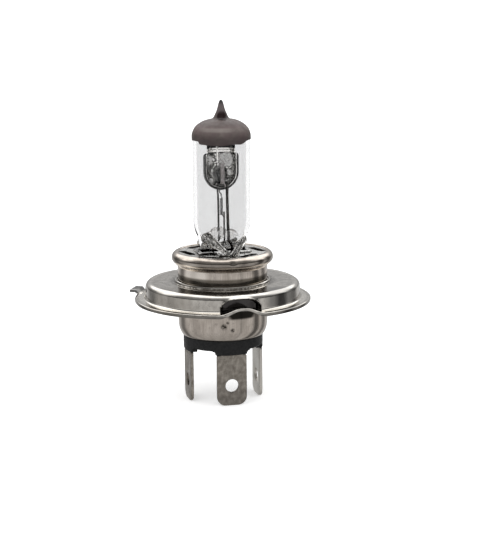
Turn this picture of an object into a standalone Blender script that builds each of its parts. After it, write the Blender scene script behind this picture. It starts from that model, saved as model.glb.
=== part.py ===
"""Two-filament halogen headlight bulb on a flanged metal cap, as separate parts.

Units are metres. The origin is on the lamp's axis, in the plane of the brim's glass side.
+Z runs from the cap to the glass tip, and the dipped-beam blade is on the -Y side.
"""
import math

import bmesh
import bpy
from mathutils import Matrix, Vector

MM = 0.001
MODEL_NAME = "headlight_bulb"
FULL_TURN = 2.0 * math.pi
HALF_TURN = math.pi
QUARTER_TURN = math.pi / 2.0
WELD = 0.001 * MM
SHARP_ANGLE = math.radians(35.0)

# Clearances between pieces that touch in the real lamp
GAP = 0.1 * MM

# Flange ring: a pressed steel ring with a raised centring step
RING_SHEET = 0.7 * MM
BRIM_RADIUS = 21.5 * MM
STEP_RADIUS = 19.0 * MM
STEP_HEIGHT = 4.0 * MM
STEP_CORNER = 1.25 * MM
STEP_DRAFT = 0.3 * MM
STEP_FOOT = 0.5 * MM
COLLAR_HEIGHT = 0.45 * MM
COLLAR_FILLET = 0.2 * MM
ARCH_HALF_WIDTH = 5.9 * MM
ARCH_RISE = 1.5 * MM
ARCH_SLOPE = 5.4 * MM
ARCH_START_RADIUS = 18.6 * MM
ARCH_FULL_RADIUS = 20.2 * MM
POCKET_DEPTH = 1.8 * MM
POCKET_HALF_WIDTH = 5.7 * MM
POCKET_EDGE = 1.2 * MM
POCKET_RADII = (17.6 * MM, 18.0 * MM, 19.0 * MM, 20.4 * MM)
POCKET_TOP = 3.5 * MM
POCKET_TOP_EDGE = 1.3 * MM
LUG_ANGLES = (math.radians(30.0), math.radians(150.0))
LUG_REACH = 23.3 * MM
LUG_WIDTH = 5.0 * MM
LUG_RAISE = 0.85 * MM
LUG_SHEET = 0.6 * MM
LUG_OVERLAP = 0.06 * MM

# Cap sleeve: a drawn steel tube with a rolled bead at the top
SLEEVE_SHEET = 0.35 * MM
SLEEVE_RADIUS = 10.95 * MM
SLEEVE_BOTTOM = -9.0 * MM
SLEEVE_MOUTH = 10.0 * MM
SLEEVE_CURL = 3.5 * MM
BEAD_CENTRE_RADIUS = 10.93 * MM
BEAD_ROLL = 1.45 * MM
BEAD_HEIGHT = 9.95 * MM
BEAD_FOOT = 7.95 * MM

# Top plate inside the bead, and the clip that grips the pinch
PLATE_RADIUS = 10.55 * MM
PLATE_TOP = 11.2 * MM
PLATE_SHEET = 0.4 * MM
SLOT_LENGTH = 6.0 * MM
SLOT_WIDTH = 1.7 * MM
SLOT_RADIUS = 8.7 * MM
SLOT_PLACES = ((0.0, 18.0), (180.0, 18.0), (58.0, 0.0), (122.0, 0.0), (238.0, 0.0), (302.0, 0.0))
CLIP_SHEET = 0.3 * MM
CLIP_BOTTOM = 4.0 * MM
CLIP_STRIPS = (("foot", 6.6 * MM, 3.6 * MM), ("tongue", 2.4 * MM, 7.0 * MM))
LEAF_WIDTH = 2.0 * MM
LEAF_ROOT = 0.05 * MM
FRONT_LEAF = (8.0 * MM, (0.6 * MM, -6.7 * MM, 0.0), (5.4 * MM, -4.1 * MM, 4.0 * MM))
BACK_LEAF = (5.6 * MM, (1.2 * MM, 6.0 * MM, 0.0), (4.4 * MM, 4.4 * MM, 1.2 * MM))

# Quartz envelope
GLASS_RADIUS = 6.95 * MM
GLASS_WALL = 0.95 * MM
DOME_BASE = 38.9 * MM
DOME_HEIGHT = 4.75 * MM
DOME_POWER = 2.4
SPIKE_BASE_RADIUS = 2.05 * MM
TIP_HEIGHT = 48.1 * MM
PINCH_HALF_X = 5.5 * MM
PINCH_HALF_Y = 2.1 * MM
PINCH_BOTTOM = -0.5 * MM
CHAMBER_FLOOR = 12.6 * MM
SEAL_SPACING = 2.4 * MM
SEAL_HALF_X = 0.85 * MM
SEAL_HALF_Y = 0.65 * MM
FOIL_HALF_WIDTH = 0.7 * MM
FOIL_FRONT, FOIL_BACK = -0.5 * MM, -0.42 * MM
FOIL_LOW, FOIL_HIGH = 2.8 * MM, 10.2 * MM

# Paint cap over the dome
PAINT_RADIUS = 7.15 * MM
PAINT_THICKNESS = 0.14 * MM
PAINT_EDGE = 38.5 * MM

# Light sources and what carries them
SHIELD_RADIUS = 4.2 * MM
SHIELD_SHEET = 0.22 * MM
SHIELD_BOTTOM = 26.4 * MM
SHIELD_RIM = 34.8 * MM
SHIELD_TOP = 37.3 * MM
SHIELD_NECK_RADIUS = 3.5 * MM
SHIELD_PLANE_Y = 0.3 * MM
SHIELD_DEPTH_RATIO = 0.78
DIPPED_X, DIPPED_Y = 0.0, -0.9 * MM
DIPPED_LOW, DIPPED_HIGH = 27.8 * MM, 33.2 * MM
DIPPED_COIL_RADIUS = 0.48 * MM
DIPPED_WIRE = 0.12 * MM
MAIN_X, MAIN_Y = -0.15 * MM, 0.0
MAIN_LOW, MAIN_HIGH = 20.1 * MM, 24.3 * MM
MAIN_COIL_RADIUS = 0.31 * MM
MAIN_WIRE = 0.09 * MM
BRIDGE_CORNERS = ((-3.2 * MM, -0.9 * MM, 14.3 * MM), (3.6 * MM, 1.1 * MM, 17.0 * MM))
BRIDGE_BEVEL = 0.5 * MM
BRIDGE_HOLES = ((-0.76, 0.47, 0.42), (0.54, 0.1, 0.36), (1.56, -0.02, 0.52))
DIPPED_LEAD_RADIUS = 0.24 * MM
MAIN_LEAD_RADIUS = 0.2 * MM
SUPPORT_ROD_RADIUS = 0.36 * MM
ARM_RADIUS = 0.14 * MM
OUTER_LEAD_RADIUS = 0.32 * MM

# Insulator and the three blades
DISC_TOP = -3.6 * MM
DISC_BOTTOM = -11.8 * MM
DISC_RADIUS = 9.75 * MM
DISC_BODY_RADIUS = 10.25 * MM
DISC_NECK_RADIUS = 9.5 * MM
DISC_NECK_TOP, DISC_NECK_BOTTOM = -8.5 * MM, -9.0 * MM
BOSS_TOP = -9.8 * MM
BOSS_BOTTOM = -12.7 * MM
BOSS_DEPTH = 2.6 * MM
BOSS_CHAMFER = 0.35 * MM
BLADE_WIDTH = 7.4 * MM
BLADE_THICKNESS = 0.7 * MM
BLADE_BOTTOM = -25.3 * MM
BLADE_TOP = -2.2 * MM
BLADE_NECK_WIDTH = 5.6 * MM
BLADE_CORNER = 2.2 * MM
BLADE_HOLE_RADIUS = 1.62 * MM
BLADE_HOLE_ABOVE_BOTTOM = 4.9 * MM
BLADE_DISTANCE = 8.65 * MM


def clear_scene():
    """Remove whatever the file opened with."""
    for old in list(bpy.data.objects):
        bpy.data.objects.remove(old, do_unlink=True)


def new_collection(name):
    """Make a collection under the scene's own."""
    collection = bpy.data.collections.new(name)
    bpy.context.scene.collection.children.link(collection)
    return collection


def material(name, colour, roughness, metallic=0.0, alpha=1.0, transmission=0.0):
    """Make a Principled material from a colour and three surface values."""
    made = bpy.data.materials.new(name)
    made.use_nodes = True
    shader = made.node_tree.nodes["Principled BSDF"]
    shader.inputs["Base Color"].default_value = (*colour, 1.0)
    shader.inputs["Roughness"].default_value = roughness
    shader.inputs["Metallic"].default_value = metallic
    shader.inputs["Alpha"].default_value = alpha
    shader.inputs["Transmission Weight"].default_value = transmission
    made.diffuse_color = (*colour, alpha)
    return made


def place(name, mesh, surface, collection):
    """Link a mesh as a named object with its material, shaded smooth with sharp edges kept."""
    thing = bpy.data.objects.new(name, mesh)
    collection.objects.link(thing)
    if surface is not None:
        mesh.materials.clear()
        mesh.materials.append(surface)
    mesh.shade_smooth()
    mesh.set_sharp_from_angle(angle=SHARP_ANGLE)
    return thing


def mesh_from_bmesh(name, shape):
    """Turn a bmesh into mesh data and free it."""
    bmesh.ops.remove_doubles(shape, verts=shape.verts, dist=WELD)
    bmesh.ops.recalc_face_normals(shape, faces=shape.faces)
    mesh = bpy.data.meshes.new(name)
    shape.to_mesh(mesh)
    shape.free()
    return mesh


def evaluated_mesh(thing):
    """Read an object's mesh with its modifiers, in world space, and remove the object."""
    bpy.context.view_layer.update()
    evaluated = thing.evaluated_get(bpy.context.evaluated_depsgraph_get())
    mesh = bpy.data.meshes.new_from_object(evaluated)
    mesh.transform(thing.matrix_world)
    bpy.data.objects.remove(thing, do_unlink=True)
    shape = bmesh.new()
    shape.from_mesh(mesh)
    return mesh_from_bmesh("solid", shape)


def arc(centre_r, centre_z, radius, start_deg, end_deg, steps):
    """Points of an arc in the (radius, height) plane."""
    points = []
    for step in range(steps + 1):
        angle = math.radians(start_deg + (end_deg - start_deg) * step / steps)
        points.append((centre_r + radius * math.cos(angle), centre_z + radius * math.sin(angle)))
    return points


def turned(name, profile, steps, surface, collection, sheet=0.0, angle=FULL_TURN):
    """Turn a profile, which runs down its outer side, about Z; a sheet gets its thickness inwards."""
    mesh = bpy.data.meshes.new(name)
    points = [(radius, 0.0, height) for radius, height in profile]
    edges = [(index, index + 1) for index in range(len(points) - 1)]
    mesh.from_pydata(points, edges, [])
    thing = bpy.data.objects.new(name, mesh)
    collection.objects.link(thing)
    screw = thing.modifiers.new("turn", "SCREW")
    screw.angle = angle
    screw.steps = steps
    screw.render_steps = steps
    screw.use_merge_vertices = True
    screw.merge_threshold = WELD
    if sheet > 0.0:
        solidify = thing.modifiers.new("sheet", "SOLIDIFY")
        solidify.thickness = sheet
        solidify.offset = -1.0
        solidify.use_even_offset = True
    return place(name, evaluated_mesh(thing), surface, collection)


def plate(name, outlines, thickness, matrix, surface, collection):
    """Make a flat plate from closed outlines in its own XY plane; an outline inside another is a hole."""
    curve = bpy.data.curves.new(name, "CURVE")
    curve.dimensions = "2D"
    curve.fill_mode = "BOTH"
    curve.extrude = thickness / 2.0
    for outline in outlines:
        spline = curve.splines.new("POLY")
        spline.points.add(len(outline) - 1)
        for point, (across, along) in zip(spline.points, outline):
            point.co = (across, along, 0.0, 1.0)
        spline.use_cyclic_u = True
    thing = bpy.data.objects.new(name, curve)
    collection.objects.link(thing)
    thing.matrix_world = matrix
    return place(name, evaluated_mesh(thing), surface, collection)


def smooth_path(points, per_span):
    """Points of a Catmull-Rom curve through the given points."""
    knots = [Vector(point) for point in points]
    knots = [knots[0] * 2.0 - knots[1]] + knots + [knots[-1] * 2.0 - knots[-2]]
    path = []
    for index in range(1, len(knots) - 2):
        before, start, end, after = knots[index - 1:index + 3]
        for step in range(per_span):
            t = step / per_span
            bend = 2.0 * before - 5.0 * start + 4.0 * end - after
            twist = 3.0 * start - before - 3.0 * end + after
            path.append(0.5 * (2.0 * start + (end - before) * t + bend * t * t + twist * t ** 3))
    path.append(knots[-2])
    return path


def wire(name, path, radius, surface, collection):
    """Make a round wire along a path."""
    curve = bpy.data.curves.new(name, "CURVE")
    curve.dimensions = "3D"
    curve.bevel_depth = radius
    curve.bevel_resolution = 2
    curve.use_fill_caps = True
    spline = curve.splines.new("POLY")
    spline.points.add(len(path) - 1)
    for point, place_on_path in zip(spline.points, path):
        point.co = (*place_on_path, 1.0)
    thing = bpy.data.objects.new(name, curve)
    collection.objects.link(thing)
    return place(name, evaluated_mesh(thing), surface, collection)


def box(name, low, high, surface, collection):
    """Make a box between two corners."""
    size = Vector(high) - Vector(low)
    middle = (Vector(high) + Vector(low)) / 2.0
    shape = bmesh.new()
    frame = Matrix.Translation(middle) @ Matrix.Diagonal((*size, 1.0))
    bmesh.ops.create_cube(shape, size=1.0, matrix=frame)
    return place(name, mesh_from_bmesh(name, shape), surface, collection)


def section(height, half_x, half_y, power, count):
    """Points of a rounded outline at one height; power 2 is an ellipse, and a higher one is squarer."""
    points = []
    for index in range(count):
        angle = FULL_TURN * index / count
        cosine, sine = math.cos(angle), math.sin(angle)
        x = half_x * math.copysign(abs(cosine) ** (2.0 / power), cosine)
        y = half_y * math.copysign(abs(sine) ** (2.0 / power), sine)
        points.append((x, y, height))
    return points


def loft(name, sections, count, surface, collection):
    """Join outlines of unlike shape, from bottom to top, into one closed solid."""
    shape = bmesh.new()
    rings = []
    for height, half_x, half_y, power in sections:
        rings.append([shape.verts.new(point) for point in section(height, half_x, half_y, power, count)])
    for lower, upper in zip(rings, rings[1:]):
        for index in range(count):
            following = (index + 1) % count
            shape.faces.new((lower[index], lower[following], upper[following], upper[index]))
    shape.faces.new(list(reversed(rings[0])))
    shape.faces.new(rings[-1])
    return place(name, mesh_from_bmesh(name, shape), surface, collection)


def combine(thing, other, operation):
    """Cut, join or intersect an object with a cutter, and leave the result on the object."""
    other.hide_render = True
    other.display_type = "WIRE"
    boolean = thing.modifiers.new(operation.lower(), "BOOLEAN")
    boolean.operation = operation
    boolean.solver = "EXACT"
    boolean.object = other
    return boolean


def dome_profile(radius, height, tip_height, spike_radius, steps):
    """Outer side of the domed end, from the tip down to the dome's base, as (radius, height) points."""
    spike_foot = DOME_BASE + height * (1.0 - (spike_radius / radius) ** DOME_POWER) ** (1.0 / DOME_POWER)
    profile = [(0.16 * spike_radius, tip_height - 0.12 * MM)]
    for share in (0.12, 0.5, 0.85):
        waist = 0.82 * spike_radius * share + 0.2 * MM
        profile.append((waist, tip_height - share * (tip_height - spike_foot)))
    start = math.acos((spike_radius / radius) ** (DOME_POWER / 2.0))
    for step in range(steps + 1):
        angle = start * (1.0 - step / steps)
        around = radius * math.cos(angle) ** (2.0 / DOME_POWER)
        up = DOME_BASE + height * math.sin(angle) ** (2.0 / DOME_POWER)
        profile.append((around, up))
    return profile


def make_glass_envelope(surface, parts, cutters):
    """Quartz tube with a domed end, an exhaust spike and a flat pinch with three foil seals."""
    count = 32
    below = [
        (PINCH_BOTTOM, PINCH_HALF_X, PINCH_HALF_Y, 5.0),
        (11.0 * MM, PINCH_HALF_X, PINCH_HALF_Y, 5.0),
        (13.0 * MM, 5.6 * MM, 2.3 * MM, 3.6),
        (14.8 * MM, 6.0 * MM, 3.1 * MM, 2.6),
        (16.4 * MM, 6.6 * MM, 5.0 * MM, 2.1),
        (18.4 * MM, GLASS_RADIUS, 6.5 * MM, 2.0),
        (20.4 * MM, GLASS_RADIUS, GLASS_RADIUS, 2.0),
    ]
    spike_top, spike_foot = TIP_HEIGHT - 0.5 * MM, SPIKE_BASE_RADIUS - 0.25 * MM
    end = dome_profile(GLASS_RADIUS, DOME_HEIGHT - 0.2 * MM, spike_top, spike_foot, 7)
    above = [(height, radius, radius, 2.0) for radius, height in reversed(end)]
    envelope = loft("glass_envelope", below + above, count, surface, parts)

    inner = GLASS_RADIUS - GLASS_WALL
    hollow = [
        (CHAMBER_FLOOR, 3.8 * MM, 0.9 * MM, 3.0),
        (14.8 * MM, 4.9 * MM, 1.9 * MM, 2.4),
        (16.4 * MM, 5.6 * MM, 3.8 * MM, 2.0),
        (18.4 * MM, inner, inner - 0.5 * MM, 2.0),
        (20.4 * MM, inner, inner, 2.0),
        (DOME_BASE, inner, inner, 2.0),
    ]
    for lift in (0.35, 0.62, 0.82, 0.95):
        shrunk = inner * math.sqrt(1.0 - lift * lift)
        hollow.append((DOME_BASE + lift * (DOME_HEIGHT - GLASS_WALL), shrunk, shrunk, 2.0))
    combine(envelope, loft("chamber_cutter", hollow, 24, None, cutters), "DIFFERENCE")
    for index in (-1, 0, 1):
        middle = index * SEAL_SPACING
        low = (middle - SEAL_HALF_X, -SEAL_HALF_Y, PINCH_BOTTOM - 1.0 * MM)
        high = (middle + SEAL_HALF_X, SEAL_HALF_Y, CHAMBER_FLOOR + 0.6 * MM)
        combine(envelope, box("seal_cutter_%d" % (index + 2), low, high, None, cutters), "DIFFERENCE")
    return envelope


def make_antiglare_coating(surface, parts):
    """Paint cap over the dome and the spike, open at the bottom."""
    inner_radius = PAINT_RADIUS - PAINT_THICKNESS
    inner_tip = TIP_HEIGHT - PAINT_THICKNESS - 0.2 * MM
    inner_spike = SPIKE_BASE_RADIUS - PAINT_THICKNESS
    outside = dome_profile(PAINT_RADIUS, DOME_HEIGHT, TIP_HEIGHT, SPIKE_BASE_RADIUS, 7)
    inside = dome_profile(inner_radius, DOME_HEIGHT - PAINT_THICKNESS, inner_tip, inner_spike, 7)
    outside = [(0.0, TIP_HEIGHT)] + outside + [(PAINT_RADIUS, PAINT_EDGE)]
    inside = [(0.0, inner_tip)] + inside + [(inner_radius, PAINT_EDGE)]
    return turned("antiglare_coating", outside + list(reversed(inside)), 32, surface, parts)


def coil_path(x, y, low, high, radius, turns, per_turn):
    """Points of an upright helix."""
    path = []
    for step in range(turns * per_turn + 1):
        angle = FULL_TURN * step / per_turn
        height = low + (high - low) * step / (turns * per_turn)
        path.append(Vector((x + radius * math.cos(angle), y + radius * math.sin(angle), height)))
    return path


def make_dipped_beam_filament(surface, parts):
    """Tungsten coil in front of the shield, with a leg to the lead above and one to the shield below."""
    path = coil_path(DIPPED_X, DIPPED_Y, DIPPED_LOW, DIPPED_HIGH, DIPPED_COIL_RADIUS, 6, 8)
    foot = [(0.9 * MM, -0.45 * MM, 27.0 * MM), (0.75 * MM, -0.8 * MM, 27.3 * MM)]
    head = [(0.0, -0.95 * MM, 33.6 * MM), (-0.75 * MM, -0.9 * MM, 33.8 * MM)]
    return wire("dipped_beam_filament", foot + path + head, DIPPED_WIRE, surface, parts)


def make_main_beam_filament(surface, parts):
    """Thinner tungsten coil below the shield, near the lamp's axis."""
    path = coil_path(MAIN_X, MAIN_Y, MAIN_LOW, MAIN_HIGH, MAIN_COIL_RADIUS, 6, 8)
    foot = [(0.2 * MM, -0.15 * MM, 19.8 * MM)]
    head = [(MAIN_X, MAIN_Y, 24.6 * MM)]
    return wire("main_beam_filament", foot + path + head, MAIN_WIRE, surface, parts)


def make_beam_shield(surface, parts):
    """Spoon-shaped sheet shield behind the dipped filament, open towards -Y, with a neck and a lid."""
    bowl = SHIELD_RADIUS
    neck = SHIELD_NECK_RADIUS
    profile = [(0.3 * MM, SHIELD_TOP), (neck - 0.25 * MM, SHIELD_TOP), (neck, SHIELD_TOP - 0.25 * MM)]
    profile += [(neck, SHIELD_RIM + 0.3 * MM), (bowl, SHIELD_RIM)]
    profile += arc(0.0, SHIELD_BOTTOM + bowl, bowl, 0.0, -86.0, 7)
    shield = turned("beam_shield", profile, 14, surface, parts, sheet=SHIELD_SHEET, angle=HALF_TURN)
    shield.data.transform(Matrix.Diagonal((1.0, SHIELD_DEPTH_RATIO, 1.0, 1.0)))
    shield.location.y = SHIELD_PLANE_Y
    return shield


def make_support_wires(surface, parts):
    """The three wires that rise from the pinch, and the short arm to the main filament."""
    routes = {
        "dipped_beam_lead_wire": (DIPPED_LEAD_RADIUS, [
            (-2.4, 0.1, 9.5), (-2.4, 0.1, 12.3), (-0.8, 0.42, 14.1), (-0.75, 0.47, 15.6),
            (-0.75, 0.5, 18.0), (-0.75, 0.7, 24.4), (-0.35, 2.9, 25.4), (-0.1, 4.3, 27.8),
            (-0.5, 4.4, 36.0), (-0.9, 2.9, 38.2), (-1.2, 0.2, 38.1), (-1.2, -0.9, 36.6),
            (-1.2, -0.9, 33.6),
        ]),
        "main_beam_lead_wire": (MAIN_LEAD_RADIUS, [
            (0.0, 0.1, 9.5), (0.0, 0.1, 12.3), (0.5, 0.1, 14.1), (0.55, 0.1, 15.6), (0.55, 0.1, 20.9),
        ]),
        "shield_support_rod": (SUPPORT_ROD_RADIUS, [
            (2.4, 0.1, 9.5), (2.4, 0.1, 12.3), (1.6, 0.0, 14.1), (1.55, 0.0, 15.6), (1.3, -0.2, 24.0),
            (1.3, -0.3, 27.4),
        ]),
        "main_beam_arm": (ARM_RADIUS, [
            (-0.4, 0.7, 26.2), (-0.4, 0.6, 25.7), (-0.15, 0.1, 25.2), (-0.15, 0.0, 24.8),
        ]),
    }
    for name, (radius, route) in routes.items():
        path = smooth_path([Vector(point) * MM for point in route], 3)
        wire(name, path, radius, surface, parts)


def make_quartz_bridge(surface, parts, cutters):
    """Quartz bar that keeps the three wires apart."""
    low, high = BRIDGE_CORNERS
    bar = box("quartz_bridge", low, high, surface, parts)
    bevel = bar.modifiers.new("rounded", "BEVEL")
    bevel.width = BRIDGE_BEVEL
    bevel.segments = 2
    above, below = high[2] + 1.0 * MM, low[2] - 1.0 * MM
    for index, (x, y, radius) in enumerate(BRIDGE_HOLES):
        ends = [(0.0, above), (radius * MM, above), (radius * MM, below), (0.0, below)]
        hole = turned("bridge_cutter_%d" % index, ends, 12, None, cutters)
        hole.location = (x * MM, y * MM, 0.0)
        combine(bar, hole, "DIFFERENCE")
    return bar


def make_seal_foils(surface, parts):
    """Thin molybdenum foils inside the pinch, one on each circuit."""
    for circuit, index in (("dipped_beam", -1), ("main_beam", 0), ("common", 1)):
        middle = index * SEAL_SPACING
        low = (middle - FOIL_HALF_WIDTH, FOIL_FRONT, FOIL_LOW)
        high = (middle + FOIL_HALF_WIDTH, FOIL_BACK, FOIL_HIGH)
        box(circuit + "_foil", low, high, surface, parts)


def make_outer_leads(surface, parts):
    """Leads from the pinch down to the blades, inside the cap."""
    routes = {
        "dipped_beam_outer_lead": [
            (-2.4, 0.1, 3.6), (-2.4, 0.1, -0.8), (-2.1, -2.0, -1.6), (-0.8, -5.6, -2.5), (0.0, -8.1, -2.8),
        ],
        "main_beam_outer_lead": [
            (0.0, 0.1, 3.6), (0.0, 0.1, -0.8), (1.5, 0.1, -2.1), (5.0, 0.0, -2.7), (8.1, 0.0, -2.8),
        ],
        "common_outer_lead": [
            (2.4, 0.1, 3.6), (2.4, 0.1, -0.7), (1.8, 2.6, -1.4), (-2.4, 3.8, -2.1), (-6.0, 2.2, -2.7),
            (-8.1, 1.0, -2.8),
        ],
    }
    for name, route in routes.items():
        path = smooth_path([Vector(point) * MM for point in route], 3)
        wire(name, path, OUTER_LEAD_RADIUS, surface, parts)


def stadium(length, width, steps):
    """Outline of a strip with round ends, along its own X axis."""
    reach = (length - width) / 2.0
    outline = []
    for side, start in ((reach, -90.0), (-reach, 90.0)):
        outline += [(side + x, y) for x, y in arc(0.0, 0.0, width / 2.0, start, start + 180.0, steps)]
    return outline


def leaf_frame(leaf, side, foot):
    """Where a spring leaf stands: its middle plane, with its lower end just above the clip's foot."""
    length, start, end = leaf
    start = Vector((side * start[0], start[1], start[2]))
    end = Vector((side * end[0], end[1], end[2]))
    along = (end - start).normalized()
    outwards = Vector((side * 0.5, math.copysign(1.0, start.y), 0.6))
    normal = (outwards - along * outwards.dot(along)).normalized()
    across = normal.cross(along)
    round_end = LEAF_WIDTH / 2.0 * math.hypot(along.z, across.z)
    drop = along.z * (length - LEAF_WIDTH) / 2.0 + round_end + CLIP_SHEET / 2.0 * abs(normal.z)
    frame = Matrix((along, across, normal)).transposed().to_4x4()
    frame.translation = (start + end) / 2.0
    frame.translation.z = foot + LEAF_ROOT + drop
    return frame


def make_pinch_clip(surface, parts, cutters):
    """Sheet clip around the pinch: a collar through the top plate, a foot on it, and four leaves."""
    hole_x = PINCH_HALF_X + GAP
    hole_y = PINCH_HALF_Y + GAP
    outer_x = hole_x + CLIP_SHEET
    outer_y = hole_y + CLIP_SHEET
    low = PLATE_TOP + GAP
    high = low + CLIP_SHEET
    clip = box("pinch_clip", (-outer_x, -outer_y, CLIP_BOTTOM), (outer_x, outer_y, high), surface, parts)
    for name, half_x, half_y in CLIP_STRIPS:
        strip = box(name + "_cutter", (-half_x, -half_y, low), (half_x, half_y, high), None, cutters)
        combine(clip, strip, "UNION")
    for end, leaf in (("front", FRONT_LEAF), ("back", BACK_LEAF)):
        for side in (-1.0, 1.0):
            name = "%s_leaf_cutter_%d" % (end, side)
            outline = stadium(leaf[0], LEAF_WIDTH, 4)
            strip = plate(name, [outline], CLIP_SHEET, leaf_frame(leaf, side, low), None, cutters)
            combine(clip, strip, "UNION")
    below, above = CLIP_BOTTOM - 1.0 * MM, high + 1.0 * MM
    bore = box("bore_cutter", (-hole_x, -hole_y, below), (hole_x, hole_y, above), None, cutters)
    combine(clip, bore, "DIFFERENCE")
    return clip


def make_cap_top_plate(surface, parts, cutters):
    """Disc inside the bead, with a hole for the clip and punched slots."""
    low = PLATE_TOP - PLATE_SHEET
    profile = [(0.0, PLATE_TOP), (PLATE_RADIUS, PLATE_TOP), (PLATE_RADIUS, low), (0.0, low)]
    disc = turned("cap_top_plate", profile, 40, surface, parts)
    half_x = PINCH_HALF_X + 2.0 * GAP + CLIP_SHEET + GAP
    half_y = PINCH_HALF_Y + 2.0 * GAP + CLIP_SHEET + GAP
    below, above = low - 1.0 * MM, PLATE_TOP + 1.0 * MM
    window = box("window_cutter", (-half_x, -half_y, below), (half_x, half_y, above), None, cutters)
    combine(disc, window, "DIFFERENCE")
    for index, (angle_deg, tilt_deg) in enumerate(SLOT_PLACES):
        turn = Matrix.Rotation(math.radians(angle_deg), 4, "Z")
        across = Matrix.Rotation(QUARTER_TURN + math.radians(tilt_deg), 4, "Z")
        frame = turn @ Matrix.Translation((SLOT_RADIUS, 0.0, PLATE_TOP)) @ across
        outline = stadium(SLOT_LENGTH, SLOT_WIDTH, 4)
        slot = plate("slot_cutter_%d" % index, [outline], 3.0 * MM, frame, None, cutters)
        combine(disc, slot, "DIFFERENCE")
    return disc


def make_cap_sleeve(surface, parts):
    """Drawn sleeve: a rolled bead over the top plate, a straight wall, and a mouth curled in."""
    profile = arc(BEAD_CENTRE_RADIUS, BEAD_HEIGHT, BEAD_ROLL, 100.0, -50.0, 9)
    profile += [(SLEEVE_RADIUS + 0.25 * MM, BEAD_FOOT + 0.3 * MM), (SLEEVE_RADIUS, BEAD_FOOT)]
    for inwards, share in ((0.05, 1.0), (0.18, 0.51), (0.5, 0.2)):
        profile.append((SLEEVE_RADIUS - inwards * MM, SLEEVE_BOTTOM + share * SLEEVE_CURL))
    profile.append((SLEEVE_MOUTH, SLEEVE_BOTTOM))
    return turned("cap_sleeve", profile, 40, surface, parts, sheet=SLEEVE_SHEET)


def smooth_step(value):
    """Ease a value from 0 to 1, and hold it outside that range."""
    held = min(1.0, max(0.0, value))
    return held * held * (3.0 - 2.0 * held)


def press_arch(mesh):
    """Raise the brim in an arch on the -Y side, and press the step's wall in above it."""
    top_start, top_end, foot_start, foot_end = POCKET_RADII
    for vertex in mesh.vertices:
        x, y, z = vertex.co
        radius = math.hypot(x, y)
        along_brim = math.atan2(x, -y) * BRIM_RADIUS
        if abs(along_brim) >= ARCH_HALF_WIDTH:
            continue
        strength = smooth_step((ARCH_HALF_WIDTH - abs(along_brim)) / ARCH_SLOPE)
        inside_pocket = smooth_step((POCKET_HALF_WIDTH - abs(along_brim)) / POCKET_EDGE)
        outward = smooth_step((radius - ARCH_START_RADIUS) / (ARCH_FULL_RADIUS - ARCH_START_RADIUS))
        on_wall = smooth_step((radius - top_start) / (top_end - top_start))
        on_wall *= smooth_step((foot_end - radius) / (foot_end - foot_start))
        below_rim = smooth_step((POCKET_TOP - z) / POCKET_TOP_EDGE)
        pressed = radius - POCKET_DEPTH * inside_pocket * on_wall * below_rim
        vertex.co = (x * pressed / radius, y * pressed / radius, z + ARCH_RISE * strength * outward)


def make_flange_ring(surface, parts, cutters):
    """Pressed ring: collar round the sleeve, centring step, brim, front arch and two raised lugs."""
    collar = SLEEVE_RADIUS + GAP + RING_SHEET
    fillet_middle = collar + COLLAR_FILLET
    profile = [(collar, STEP_HEIGHT + COLLAR_HEIGHT)]
    profile += arc(fillet_middle, STEP_HEIGHT + COLLAR_FILLET, COLLAR_FILLET, 180.0, 270.0, 2)
    corner_middle = STEP_RADIUS - STEP_DRAFT - STEP_CORNER
    profile += arc(corner_middle, STEP_HEIGHT - STEP_CORNER, STEP_CORNER, 90.0, 0.0, 3)
    profile += [(STEP_RADIUS - STEP_DRAFT / 2.0, 1.9 * MM), (STEP_RADIUS - STEP_DRAFT / 4.0, 1.4 * MM)]
    profile += arc(STEP_RADIUS + STEP_FOOT, STEP_FOOT, STEP_FOOT, 180.0, 270.0, 2)
    profile += [(BRIM_RADIUS, 0.0)]
    ring = turned("flange_ring", profile, 60, surface, parts, sheet=RING_SHEET)
    press_arch(ring.data)
    root = BRIM_RADIUS - 1.3 * MM
    bend = BRIM_RADIUS - 0.6 * MM
    low, high = LUG_RAISE - LUG_SHEET, LUG_RAISE
    lug = [
        (root, LUG_OVERLAP - LUG_SHEET), (bend, LUG_OVERLAP - LUG_SHEET), (BRIM_RADIUS + 0.4 * MM, low),
        (LUG_REACH, low), (LUG_REACH, high), (BRIM_RADIUS + 0.1 * MM, high),
        (bend - 0.1 * MM, LUG_OVERLAP), (root, LUG_OVERLAP),
    ]
    for index, angle in enumerate(LUG_ANGLES):
        upright = Matrix.Rotation(angle, 4, "Z") @ Matrix.Rotation(QUARTER_TURN, 4, "X")
        tab = plate("lug_cutter_%d" % index, [lug], LUG_WIDTH, upright, None, cutters)
        combine(ring, tab, "UNION")
    return ring


def blade_frames():
    """Where each blade stands: its circuit's name, and the frame of its outer face."""
    frames = []
    for circuit, angle_deg in (("dipped_beam", -90.0), ("common", 180.0), ("main_beam", 0.0)):
        turn = Matrix.Rotation(math.radians(angle_deg), 4, "Z")
        stand = Matrix.Rotation(QUARTER_TURN, 4, "Z") @ Matrix.Rotation(QUARTER_TURN, 4, "X")
        frames.append((circuit, turn @ Matrix.Translation((BLADE_DISTANCE, 0.0, 0.0)) @ stand))
    return frames


def blade_outline():
    """Blade with rounded lower corners, and a narrower neck that goes up through the insulator."""
    half = BLADE_WIDTH / 2.0
    neck = BLADE_NECK_WIDTH / 2.0
    shoulder = BOSS_BOTTOM - GAP
    inside = half - BLADE_CORNER
    low = BLADE_BOTTOM + BLADE_CORNER
    outline = [(neck, BLADE_TOP), (-neck, BLADE_TOP), (-neck, shoulder), (-half, shoulder)]
    outline += arc(-inside, low, BLADE_CORNER, 180.0, 270.0, 4)
    outline += arc(inside, low, BLADE_CORNER, 270.0, 360.0, 4)
    outline += [(half, shoulder), (neck, shoulder)]
    return outline


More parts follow.
